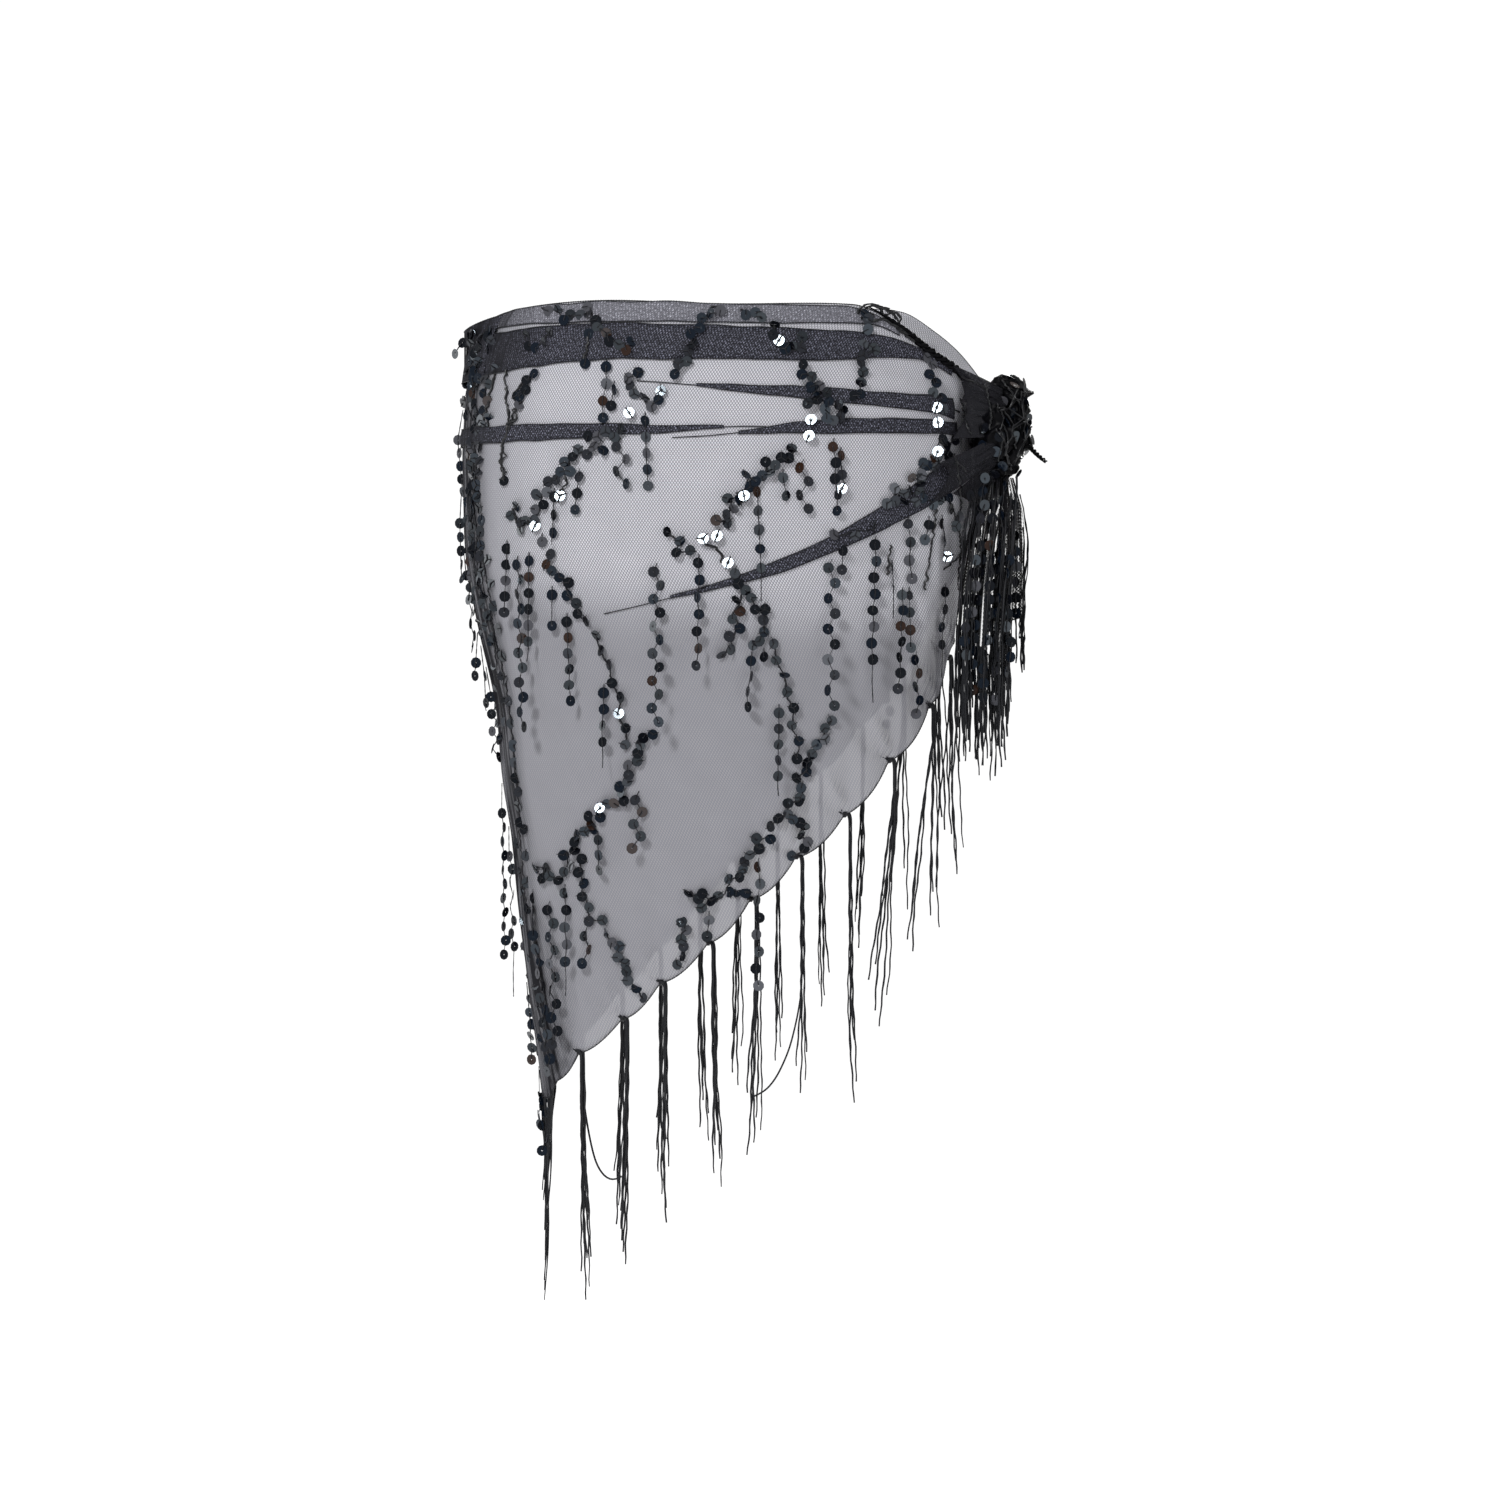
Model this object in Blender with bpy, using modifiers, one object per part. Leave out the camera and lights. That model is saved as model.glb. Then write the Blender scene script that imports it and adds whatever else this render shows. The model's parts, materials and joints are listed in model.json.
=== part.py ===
"""Sheer sequin hip scarf, wound round the hips and knotted at one side, as hollow worn cloth.

Metres, +Z up. The side with the most to see faces -Y, and the knot lies towards +X.
The origin is the centre of the hip opening, level with the middle of the folded top band.
An angle round the hips is in degrees: 0 at -X, 90 at -Y, 160 at the knot, and negative round the back.
"""

import math
from collections import namedtuple

import bmesh
import bpy
from mathutils import Vector

MM = 0.001
CLOTH = 1.2 * MM
SEAM_GAP = 0.3 * MM
STRIP_LIFT = 0.9 * MM
STRIP_CLOTH = 1.0 * MM

# A general hip: each row is one level section, an ellipse.
SECTION_COLUMNS = ("height", "half_width", "half_depth")
SECTIONS = [
    (-0.520, 0.1170, 0.024),
    (-0.480, 0.1215, 0.036),
    (-0.430, 0.1287, 0.053),
    (-0.380, 0.1345, 0.066),
    (-0.330, 0.1395, 0.079),
    (-0.285, 0.1460, 0.090),
    (-0.233, 0.1510, 0.100),
    (-0.180, 0.1630, 0.110),
    (-0.140, 0.1703, 0.1145),
    (-0.100, 0.1723, 0.1150),
    (-0.060, 0.1729, 0.1145),
    (-0.020, 0.1697, 0.1120),
    (0.000, 0.1650, 0.1090),
    (0.020, 0.1550, 0.1040),
    (0.045, 0.1400, 0.0970),
]

# Where the top edge of the cloth runs.
TOP_EDGE_COLUMNS = ("angle", "height")
TOP_EDGE = [
    (-204, -0.033),
    (-190, -0.032),
    (-180, -0.026),
    (-168, -0.014),
    (-153, 0.013),
    (-143, 0.028),
    (-125, 0.032),
    (-90, 0.029),
    (-50, 0.026),
    (-20, 0.018),
    (0, 0.011),
    (20, 0.018),
    (40, 0.0215),
    (60, 0.0225),
    (90, 0.019),
    (122, 0.020),
    (128, 0.016),
    (135, 0.004),
    (141, -0.008),
    (151, -0.020),
    (160, -0.029),
    (172, -0.034),
]

# Tassel places along the hem, as metres across from the origin and height.
HEM_COLUMNS = ("across", "height")
BACK_HEM = [
    (-0.096, -0.464),
    (-0.067, -0.441),
    (-0.042, -0.417),
    (-0.011, -0.391),
    (0.0165, -0.3625),
    (0.046, -0.335),
    (0.077, -0.308),
    (0.106, -0.273),
    (0.133, -0.2375),
    (0.1455, -0.206),
]
FRONT_HEM = [
    (-0.098, -0.457),
    (-0.072, -0.428),
    (-0.047, -0.400),
    (-0.021, -0.370),
    (0.004, -0.341),
    (0.031, -0.312),
    (0.060, -0.282),
    (0.089, -0.250),
    (0.117, -0.214),
    (0.140, -0.172),
]
TIP_HEIGHT = -0.495
HEM_SCALLOP = 3.5 * MM
HEM_FLARE = 2.5 * MM

KNOT_ANGLE = 160
KNOT_HEIGHT = -0.056
KNOT_STAND = 19.6 * MM
NECK_HEIGHT = -0.090

GATHER_DEPTH = 2.4 * MM
GATHER_RIDGES = 9
GATHER_REACH = 0.085
GATHER_CLEAR = 0.022
HIP_ARC_RADIUS = 0.140

MOST_COLUMN_DEGREES = 6.5
LEAST_COLUMNS = 3
KNOT_SIDE_COLUMNS = 5
PANEL_ROWS = 15

# Folded bands of cloth lying on the panels: each row gives the middle line's height and the width there.
BAND_COLUMNS = ("angle", "height", "width")
TOP_EDGE_FOLD = [
    (-150, 0.0015, 0.006),
    (-120, 0.0215, 0.016),
    (-60, 0.0195, 0.013),
    (-15, 0.0110, 0.007),
    (12, 0.0105, 0.006),
    (30, 0.0145, 0.011),
    (60, 0.0150, 0.013),
    (100, 0.0125, 0.012),
    (120, 0.0130, 0.011),
    (127, 0.0105, 0.008),
    (133, 0.0030, 0.005),
]
TOP_BAND = [
    (-176, -0.0440, 0.010),
    (-165, -0.0330, 0.014),
    (-140, -0.0060, 0.018),
    (-90, 0.0010, 0.020),
    (-40, -0.0020, 0.022),
    (0, -0.0080, 0.024),
    (30, -0.0045, 0.023),
    (60, -0.0030, 0.022),
    (90, -0.0055, 0.021),
    (115, -0.0065, 0.020),
    (130, -0.0095, 0.018),
    (142, -0.0195, 0.013),
    (149, -0.0275, 0.009),
]
HIP_BAND = [
    (-120, -0.0610, 0.004),
    (-80, -0.0600, 0.009),
    (-40, -0.0600, 0.011),
    (0, -0.0605, 0.0115),
    (30, -0.0600, 0.0105),
    (55, -0.0590, 0.0095),
    (75, -0.0575, 0.0065),
    (90, -0.0560, 0.0030),
]
UPPER_TUCK = [
    (84, -0.0290, 0.003),
    (100, -0.0330, 0.0055),
    (115, -0.0370, 0.0085),
    (128, -0.0385, 0.0090),
    (140, -0.0395, 0.0100),
    (149, -0.0420, 0.0110),
]
LOWER_TUCK = [
    (93, -0.0640, 0.003),
    (105, -0.0610, 0.0065),
    (118, -0.0570, 0.0085),
    (132, -0.0560, 0.0080),
    (145, -0.0565, 0.0075),
    (150, -0.0570, 0.0080),
]
DIAGONAL_TUCK = [
    (78, -0.1690, 0.003),
    (90, -0.1600, 0.0045),
    (103, -0.1480, 0.0085),
    (117, -0.1300, 0.0120),
    (130, -0.1130, 0.0150),
    (141, -0.0985, 0.0170),
    (149, -0.0860, 0.0200),
]
FRONT_DIAGONAL_TUCK = [
    (-170, -0.0800, 0.0130),
    (-150, -0.1020, 0.0140),
    (-130, -0.1230, 0.0120),
    (-110, -0.1420, 0.0075),
    (-92, -0.1560, 0.003),
]
BAND_COLUMN_DEGREES = 6.0
BAND_ROWS = 2
BANDS = {
    "top_edge_fold": TOP_EDGE_FOLD,
    "top_band": TOP_BAND,
    "hip_band": HIP_BAND,
    "upper_tuck": UPPER_TUCK,
    "lower_tuck": LOWER_TUCK,
    "diagonal_tuck": DIAGONAL_TUCK,
    "front_diagonal_tuck": FRONT_DIAGONAL_TUCK,
}

# The gathered cloth that fans out of the knot over the folded bands' ends.
FAN_LIFT = 3.7 * MM
FAN_PLEAT = 1.3 * MM
FAN_PLEATS = 5
FAN_PLEAT_COLUMNS = 6
FAN_ROWS = 4
FAN_NEAR = 0.018
FAN_FAR = 0.043
FAN_SPREAD = 40
FAN_TURN = -6

TASSEL_HEAD = 2.6 * MM
TASSEL_ROOT_INSET = 0.28 * MM
STRAND_RADIUS = 0.55 * MM
STRAND_STEPS = 4
TASSEL_SPREAD = 4.2 * MM
TASSEL_SWAY = 3.0 * MM
SWAY_TURN = 2.1
SHORTEST_STRAND = 0.70
# One row for each tassel, from the tip round to the knot: strands and the longest strand's length.
TASSEL_COLUMNS = ("strands", "length")
TIP_TASSEL = (7, 0.134)
BACK_TASSELS = [
    (5, 0.150),
    (6, 0.155),
    (5, 0.152),
    (5, 0.158),
    (6, 0.165),
    (5, 0.153),
    (5, 0.178),
    (6, 0.168),
    (6, 0.156),
    (5, 0.150),
]
FRONT_TASSELS = [
    (5, 0.148),
    (5, 0.156),
    (6, 0.150),
    (5, 0.160),
    (5, 0.152),
    (5, 0.165),
    (6, 0.158),
    (5, 0.150),
    (5, 0.160),
    (5, 0.148),
]

# The two ends of the scarf that hang from the knot. Each row is one level of the pleated cloth.
TAIL_COLUMNS = ("across", "away", "height", "width", "pleat")
BACK_TAIL = [
    (0.1765, -0.0560, -0.0881, 0.0150, 0.0016),
    (0.1740, -0.0640, -0.1100, 0.0215, 0.0030),
    (0.1705, -0.0690, -0.1350, 0.0275, 0.0036),
    (0.1675, -0.0715, -0.1650, 0.0310, 0.0038),
    (0.1655, -0.0725, -0.2000, 0.0325, 0.0036),
]
FRONT_TAIL = [
    (0.1835, -0.0410, -0.0885, 0.0120, 0.0013),
    (0.1870, -0.0400, -0.1100, 0.0175, 0.0026),
    (0.1865, -0.0400, -0.1350, 0.0225, 0.0032),
    (0.1850, -0.0400, -0.1600, 0.0255, 0.0032),
    (0.1840, -0.0400, -0.1850, 0.0265, 0.0030),
]
# turn is the way the cloth faces, in degrees, and slant is how much lower one corner hangs.
Tail = namedtuple("Tail", "rows turn pleats slant fringe")
TAILS = {
    "back_tail": Tail(BACK_TAIL, -12, 3, 0.030, 0.105),
    "front_tail": Tail(FRONT_TAIL, 42, 2, -0.016, 0.100),
}
PLEAT_COLUMNS = 6
TAIL_ROWS = 8
FRINGE_EDGE_HEIGHT = 4.0 * MM
FRINGE_EDGE_DEPTH = 2.0 * MM
FRINGE_GAP = 0.7 * MM
FRINGE_ROOT_INSET = 0.45 * MM
FRINGE_SPREAD = 0.12
SHORTEST_FRINGE_STRAND = 0.66

MATERIALS = {
    "mesh_cloth": ((0.16, 0.16, 0.18), 0.75, 0.0),
    "folded_cloth": ((0.05, 0.05, 0.06), 0.70, 0.0),
    "knot_cloth": ((0.015, 0.015, 0.018), 0.60, 0.0),
    "fringe_yarn": ((0.012, 0.012, 0.014), 0.65, 0.0),
}


def through(rows, at, column=1):
    """A smooth value read from a table whose first column rises, through each row's value in that column."""
    last = len(rows) - 1
    if at <= rows[0][0]:
        return rows[0][column]
    if at >= rows[last][0]:
        return rows[last][column]
    i = max(k for k in range(last) if rows[k][0] <= at)

    def slope(k):
        low, high = max(k - 1, 0), min(k + 1, last)
        return (rows[high][column] - rows[low][column]) / (rows[high][0] - rows[low][0])

    span = rows[i + 1][0] - rows[i][0]
    s = (at - rows[i][0]) / span
    start, end = rows[i][column], rows[i + 1][column]
    return (
        start * (1 + 2 * s) * (1 - s) ** 2
        + end * s * s * (3 - 2 * s)
        + slope(i) * span * s * (1 - s) ** 2
        + slope(i + 1) * span * s * s * (s - 1)
    )


def half_width(height):
    return through(SECTIONS, height, SECTION_COLUMNS.index("half_width"))


def half_depth(height):
    return through(SECTIONS, height, SECTION_COLUMNS.index("half_depth"))


def outward(angle, height):
    """The level direction straight out of the hip section."""
    turn = math.radians(angle)
    return Vector(
        (-half_depth(height) * math.cos(turn), -half_width(height) * math.sin(turn), 0)
    ).normalized()


def gather(angle, height):
    """How far the ridges that run out from the knot lift the cloth."""
    along = math.radians((angle - KNOT_ANGLE + 180) % 360 - 180) * HIP_ARC_RADIUS
    up = height - KNOT_HEIGHT
    away = math.hypot(along, up)
    if away < GATHER_CLEAR:
        return 0.0
    fade = min(1, (away - GATHER_CLEAR) / GATHER_CLEAR) * math.exp(-((away / GATHER_REACH) ** 2))
    return GATHER_DEPTH * fade * 0.5 * (1 + math.cos(GATHER_RIDGES * math.atan2(up, along)))


def hip_point(angle, height, lift=0.0):
    """A point on the worn cloth's outer face, moved out by lift."""
    turn = math.radians(angle)
    on_section = Vector(
        (-half_width(height) * math.cos(turn), -half_depth(height) * math.sin(turn), height)
    )
    return on_section + outward(angle, height) * (lift + gather(angle, height))


def hem_angle(across, height, side):
    """The angle at which the hip section is that far across, on the back (1) or the front (-1)."""
    return side * math.degrees(math.acos(-across / half_width(height)))


def collection(name):
    made = bpy.data.collections.new(name)
    bpy.context.scene.collection.children.link(made)
    return made


def material(name):
    colour, roughness, metallic = MATERIALS[name]
    made = bpy.data.materials.get(name) or bpy.data.materials.new(name)
    made.use_nodes = True
    shader = made.node_tree.nodes["Principled BSDF"]
    shader.inputs["Base Color"].default_value = (*colour, 1)
    shader.inputs["Roughness"].default_value = roughness
    shader.inputs["Metallic"].default_value = metallic
    return made


def finish_mesh(name, bm, cloth, parts):
    mesh = bpy.data.meshes.new(name)
    bm.to_mesh(mesh)
    bm.free()
    obj = bpy.data.objects.new(name, mesh)
    obj.data.materials.append(material(cloth))
    parts.objects.link(obj)
    return obj


def sheet(name, columns, rows, point_at, thickness, cloth, parts):
    """A cloth wall: a grid laid on point_at from its columns and its rows, with its thickness inwards."""
    bm = bmesh.new()
    bmesh.ops.create_grid(bm, x_segments=len(columns) - 1, y_segments=rows, size=0.5)
    last = len(columns) - 1
    for v in bm.verts:
        v.co = point_at(columns[round((v.co.x + 0.5) * last)], 0.5 - v.co.y)
    obj = finish_mesh(name, bm, cloth, parts)
    wall = obj.modifiers.new("cloth", "SOLIDIFY")
    wall.thickness = thickness
    wall.offset = -1
    return obj


def side_angles(hem, side):
    """The angles of the tassels on one side, from the tip."""
    return [hem_angle(across, height, side) for across, height in hem]


def hem_line(hem, side):
    """Rows of angle, height and tassel number along one side's hem, from the tip to its last tassel."""
    places = [(0.0, TIP_HEIGHT)] + list(zip(side_angles(hem, side), [row[1] for row in hem]))
    line = []
    for (start, low), (end, high) in zip(places, places[1:]):
        count = max(LEAST_COLUMNS, math.ceil(abs(end - start) / MOST_COLUMN_DEGREES))
        for k in range(count):
            share = k / count
            lobe = math.sin(math.pi * share)
            line.append(
                (start + (end - start) * share, low + (high - low) * share - HEM_SCALLOP * lobe, lobe)
            )
    line.append((places[-1][0], places[-1][1], 0.0))
    return line


def seam_turn(height):
    """Half the gap at the tip seam, in degrees, wide enough for the inner corners to stay apart."""
    first = math.radians(MOST_COLUMN_DEGREES / 2)
    tilt = math.atan(half_width(height) / half_depth(height) * math.tan(first))
    return math.degrees((SEAM_GAP / 2 + CLOTH * math.sin(tilt)) / half_depth(height))


def panel(name, line, side, parts):
    """One stretch of the wound cloth, between the top edge and the hem."""

    def point_at(place, down):
        angle, hem_height, lobe = place
        top = through(TOP_EDGE, angle)
        height = top + (hem_height - top) * down
        turned = angle
        if abs(angle) < 1:
            turned = side * seam_turn(height)
        return hip_point(turned, height, HEM_FLARE * lobe * down**6)

    columns = line if side > 0 else line[::-1]
    return sheet(name, columns, PANEL_ROWS, point_at, CLOTH, "mesh_cloth", parts)


def back_line():
    """The photographed stretch ends in a free edge that runs up under the knot."""
    return hem_line(BACK_HEM, 1)


def front_line():
    """The other stretch draws in past its last tassel to a neck under the knot."""
    line = hem_line(FRONT_HEM, -1)
    start, low, _ = line[-1]
    end = side_angles(BACK_HEM, 1)[-1] - 360 + math.degrees(3 * SEAM_GAP / HIP_ARC_RADIUS)
    count = 2 * KNOT_SIDE_COLUMNS
    for k in range(1, count + 1):
        share = k / count
        drawn_in = 1 - (1 - share) ** 2
        line.append((start + (end - start) * share, low + (NECK_HEIGHT - low) * drawn_in, 0.0))
    return line


def band(name, rows, parts):
    """A fold lying on the panels, made from their points moved out. It is one body all the way along."""
    count = math.ceil((rows[-1][0] - rows[0][0]) / BAND_COLUMN_DEGREES)
    width = BAND_COLUMNS.index("width")

    def point_at(share, down):
        angle = rows[0][0] + (rows[-1][0] - rows[0][0]) * share
        height = through(rows, angle) + through(rows, angle, width) * (0.5 - down)
        return hip_point(angle, height, STRIP_LIFT + STRIP_CLOTH)

    shares = [k / count for k in range(count + 1)]
    return sheet(name, shares, BAND_ROWS, point_at, STRIP_CLOTH, "folded_cloth", parts)


def knot_fan(parts):
    """Cloth drawn into radial pleats where both ends come together at the knot."""
    arc_radius = math.hypot(
        half_width(KNOT_HEIGHT) * math.sin(math.radians(KNOT_ANGLE)),
        half_depth(KNOT_HEIGHT) * math.cos(math.radians(KNOT_ANGLE)),
    )

    def point_at(across, down):
        turn = math.radians(FAN_TURN + FAN_SPREAD * (2 * across - 1))
        reach = FAN_NEAR + (FAN_FAR - FAN_NEAR) * down
        angle = KNOT_ANGLE - math.degrees(reach * math.cos(turn) / arc_radius)
        pleat = FAN_PLEAT * (0.4 + 0.6 * down) * (1 - math.cos(2 * math.pi * FAN_PLEATS * across))
        return hip_point(angle, KNOT_HEIGHT + reach * math.sin(turn), FAN_LIFT + pleat)

    count = FAN_PLEATS * FAN_PLEAT_COLUMNS
    columns = [1 - k / count for k in range(count + 1)]
    return sheet("knot_fan", columns, FAN_ROWS, point_at, CLOTH, "knot_cloth", parts)


def knot_frame():
    """The knot's centre, with the directions out of the hip and along it."""
    out = outward(KNOT_ANGLE, KNOT_HEIGHT)
    along = Vector((-out.y, out.x, 0))
    centre = hip_point(KNOT_ANGLE, KNOT_HEIGHT, KNOT_STAND)
    return centre, out, along


def knot_lump(name, place, size, guides):
    """A soft lump of the knot, with its place and size given along, out and up."""
    centre, out, along = knot_frame()
    bpy.ops.mesh.primitive_uv_sphere_add(segments=14, ring_count=9, radius=1)
    lump = bpy.context.object
    lump.name = name
    for v in lump.data.vertices:
        x, y, z = (v.co[i] * size[i] + place[i] for i in range(3))
        v.co = centre + along * x + out * y + Vector((0, 0, z))
    move_to(lump, guides)
    return lump


def move_to(obj, parts):
    for old in obj.users_collection:
        old.objects.unlink(obj)
    parts.objects.link(obj)


# The knot's lumps: along the hip, out of it and up, then the half sizes the same way.
KNOT_LUMPS = {
    "crown": ((0.006, 0.002, 0.021), (0.0125, 0.0150, 0.0130)),
    "left_lump": ((-0.0125, 0.001, -0.004), (0.0105, 0.0140, 0.0170)),
    "right_lump": ((0.0125, 0.000, -0.006), (0.0100, 0.0150, 0.0160)),
    "neck_lump": ((0.000, -0.001, -0.0215), (0.0120, 0.0135, 0.0110)),
    "loose_end": ((0.0100, 0.0155, -0.0170), (0.0055, 0.0110, 0.0045)),
}
KNOT_RING_RADIUS = 0.0175
KNOT_RING_THICKNESS = 0.0062
KNOT_RING_DEPTH_SCALE = 0.80
KNOT_RING_HEIGHT_SCALE = 1.38
KNOT_RING_LEAN = 14


def knot(parts, guides):
    """The scarf's ends passed through each other: a wrapping ring over four lumps, joined into one body."""
    centre, out, along = knot_frame()
    bpy.ops.mesh.primitive_torus_add(
        major_segments=24,
        minor_segments=9,
        major_radius=KNOT_RING_RADIUS,
        minor_radius=KNOT_RING_THICKNESS,
    )
    ring = bpy.context.object
    ring.name = "knot"
    lean = math.radians(KNOT_RING_LEAN)
    for v in ring.data.vertices:
        level, deep, high = v.co.z, v.co.x * KNOT_RING_DEPTH_SCALE, v.co.y * KNOT_RING_HEIGHT_SCALE
        x = level * math.cos(lean) + high * math.sin(lean)
        z = high * math.cos(lean) - level * math.sin(lean)
        v.co = centre + along * x + out * deep + Vector((0, 0, z))
    ring.data.materials.append(material("knot_cloth"))
    move_to(ring, parts)
    for name, (place, size) in KNOT_LUMPS.items():
        lump = knot_lump(name, place, size, guides)
        join = ring.modifiers.new(name, "BOOLEAN")
        join.operation = "UNION"
        join.object = lump
    return ring


def turned(direction_degrees):
    turn = math.radians(direction_degrees)
    return Vector((math.cos(turn), math.sin(turn), 0)), Vector((-math.sin(turn), math.cos(turn), 0))


def tail_point(made, across, down, thick=0.0):
    """A point on a hanging end: across and down run from 0 to 1, and thick is how far behind it lies."""
    side, deep = turned(made.turn)
    last = len(made.rows) - 1
    i = min(int(down * last), last - 1)
    share = down * last - i
    level = [high * (1 - share) + low * share for high, low in zip(made.rows[i], made.rows[i + 1])]
    x, y, z, width, pleat = level
    wave = pleat * math.sin(2 * math.pi * made.pleats * across)
    drop = made.slant * (across - 0.5) * down
    return Vector((x, y, z - drop)) + side * width * (across - 0.5) + deep * (wave + thick)


def tail(name, made, parts):
    count = made.pleats * PLEAT_COLUMNS
    columns = [k / count for k in range(count + 1)]

    def point_at(across, down):
        return tail_point(made, across, down)

    return sheet(name, columns, TAIL_ROWS, point_at, CLOTH, "folded_cloth", parts)


def grow_strand(bm, face, length, spread, sway):
    """Draws one strand down out of a root face, in steps, to its own length."""
    root = face.calc_center_median()
    corners = [v.co - root for v in face.verts]
    flat = [Vector((c.x, c.y, 0)).normalized() * STRAND_RADIUS for c in corners]
    for step in range(1, STRAND_STEPS + 1):
        share = step / STRAND_STEPS
        grown = bmesh.ops.extrude_discrete_faces(bm, faces=[face])
        face = grown["faces"][0]
        centre = root + Vector((0, 0, -length * share)) + spread * math.sqrt(share) + sway * share**2
        for v, offset in zip(face.verts, flat):
            v.co = centre + offset


def strand_share(k, number, strands, shortest):
    """The strands of one tassel differ in length, in an uneven order."""
    return 1 - (1 - shortest) * ((k * 5 + number * 3) % strands) / strands


def tassel(name, place, number, strands, length, parts):
    """A knot of yarn through the hem, with its strands fused to it at their roots."""
    bm = bmesh.new()
    bmesh.ops.create_uvsphere(bm, u_segments=strands, v_segments=4, radius=TASSEL_HEAD)
    bm.faces.ensure_lookup_table()
    roots = [f for f in bm.faces if len(f.verts) == 3 and f.calc_center_median().z < 0]
    roots.sort(key=lambda f: math.atan2(f.calc_center_median().y, f.calc_center_median().x))
    bmesh.ops.inset_individual(bm, faces=roots, thickness=TASSEL_ROOT_INSET)
    sway = Vector((math.sin(SWAY_TURN * number), math.cos(SWAY_TURN * number), 0)) * TASSEL_SWAY
    for k, face in enumerate(roots):
        middle = face.calc_center_median()
        away = Vector((middle.x, middle.y, 0)).normalized()
        share = strand_share(k, number, strands, SHORTEST_STRAND)
        grow_strand(bm, face, length * share, away * TASSEL_SPREAD, sway)
    for v in bm.verts:
        v.co += place
    return finish_mesh(name, bm, "fringe_yarn", parts)


def tassel_place(angle, height):
    return hip_point(angle, height, SEAM_GAP + TASSEL_HEAD)


def fringe(name, made, parts):
    """A narrow strip parted from a tail's lower edge, with a strand drawn down for each of its columns."""
    strands = made.pleats * PLEAT_COLUMNS
    bm = bmesh.new()
    bmesh.ops.create_cube(bm, size=1)
    lengthwise = [e for e in bm.edges if abs(e.verts[0].co.x - e.verts[1].co.x) > 0.5]
    bmesh.ops.subdivide_edges(bm, edges=lengthwise, cuts=strands - 1)
    roots = [f for f in bm.faces if f.calc_center_median().z < -0.4]
    for v in bm.verts:
        across, deep, up = v.co.x + 0.5, v.co.y, v.co.z - 0.5
        edge = tail_point(made, across, 1, deep * FRINGE_EDGE_DEPTH + CLOTH / 2)
        v.co = edge + Vector((0, 0, up * FRINGE_EDGE_HEIGHT - FRINGE_GAP))
    bmesh.ops.recalc_face_normals(bm, faces=bm.faces)
    roots.sort(key=lambda f: f.calc_center_median().x)
    bmesh.ops.inset_individual(bm, faces=roots, thickness=FRINGE_ROOT_INSET)
    middle = sum((f.calc_center_median() for f in roots), Vector()) / len(roots)
    for k, face in enumerate(roots):
        away = face.calc_center_median() - middle
        spread = Vector((away.x, away.y, 0)) * FRINGE_SPREAD
        share = strand_share(k, 0, strands, SHORTEST_FRINGE_STRAND)
        grow_strand(bm, face, made.fringe * share, spread, Vector((0, 0, 0)))
    return finish_mesh(name, bm, "fringe_yarn", parts)


def hem_tassels(label, hem, side, sizes, parts):
    angles = side_angles(hem, side)
    for number, (angle, (_, height), (strands, length)) in enumerate(zip(angles, hem, sizes), 1):
        place = tassel_place(angle, height)
        tassel(f"{label}_tassel_{number:02d}", place, number, strands, length, parts)


def main():
    for old in list(bpy.data.objects):
        bpy.data.objects.remove(old, do_unlink=True)
    parts = collection("sequin_hip_scarf")
    guides = collection("guides")
    guides.hide_render = True

    panel("back_stretch", back_line(), 1, parts)
    panel("front_stretch", front_line(), -1, parts)
    for name, rows in BANDS.items():
        band(name, rows, parts)

    knot_fan(parts)
    knot(parts, guides)
    for name, made in TAILS.items():
        tail(name, made, parts)
        fringe(f"{name}_fringe", made, parts)

    strands, length = TIP_TASSEL
    tassel("tip_tassel", tassel_place(0, TIP_HEIGHT + SEAM_GAP), 0, strands, length, parts)
    hem_tassels("back", BACK_HEM, 1, BACK_TASSELS, parts)
    hem_tassels("front", FRONT_HEM, -1, FRONT_TASSELS, parts)


main()
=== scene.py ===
"""The looks of a sheer sequin hip scarf: net, folded bands, knot, hanging ends, sequins and yarn fringe.

Metres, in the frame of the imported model. An angle round the hips is in degrees: 0 at -X, 90 at -Y on the
photographed side, 160 at the knot, and negative round the other side.
"""
import json
import math
import random

import bpy
import numpy as np
from mathutils import Matrix, Vector, noise

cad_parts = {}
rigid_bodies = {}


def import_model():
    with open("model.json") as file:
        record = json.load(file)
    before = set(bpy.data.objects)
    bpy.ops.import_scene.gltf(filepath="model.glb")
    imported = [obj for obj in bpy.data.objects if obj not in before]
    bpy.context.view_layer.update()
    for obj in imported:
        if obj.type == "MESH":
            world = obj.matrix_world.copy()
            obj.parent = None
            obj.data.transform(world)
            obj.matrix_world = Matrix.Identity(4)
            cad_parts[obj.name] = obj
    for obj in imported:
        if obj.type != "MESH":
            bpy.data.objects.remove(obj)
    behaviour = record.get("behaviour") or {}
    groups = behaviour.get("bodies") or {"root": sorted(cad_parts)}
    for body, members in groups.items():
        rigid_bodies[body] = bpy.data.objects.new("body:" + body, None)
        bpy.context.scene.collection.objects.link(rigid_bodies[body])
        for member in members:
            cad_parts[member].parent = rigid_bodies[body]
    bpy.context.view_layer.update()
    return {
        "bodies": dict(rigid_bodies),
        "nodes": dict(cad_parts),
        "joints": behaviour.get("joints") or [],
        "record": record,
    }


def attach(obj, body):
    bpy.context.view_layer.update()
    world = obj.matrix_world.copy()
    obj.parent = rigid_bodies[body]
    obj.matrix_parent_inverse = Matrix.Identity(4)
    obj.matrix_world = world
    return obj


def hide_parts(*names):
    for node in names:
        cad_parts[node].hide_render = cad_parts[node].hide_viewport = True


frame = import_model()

MM = 0.001
UP = Vector((0, 0, 1))

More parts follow.
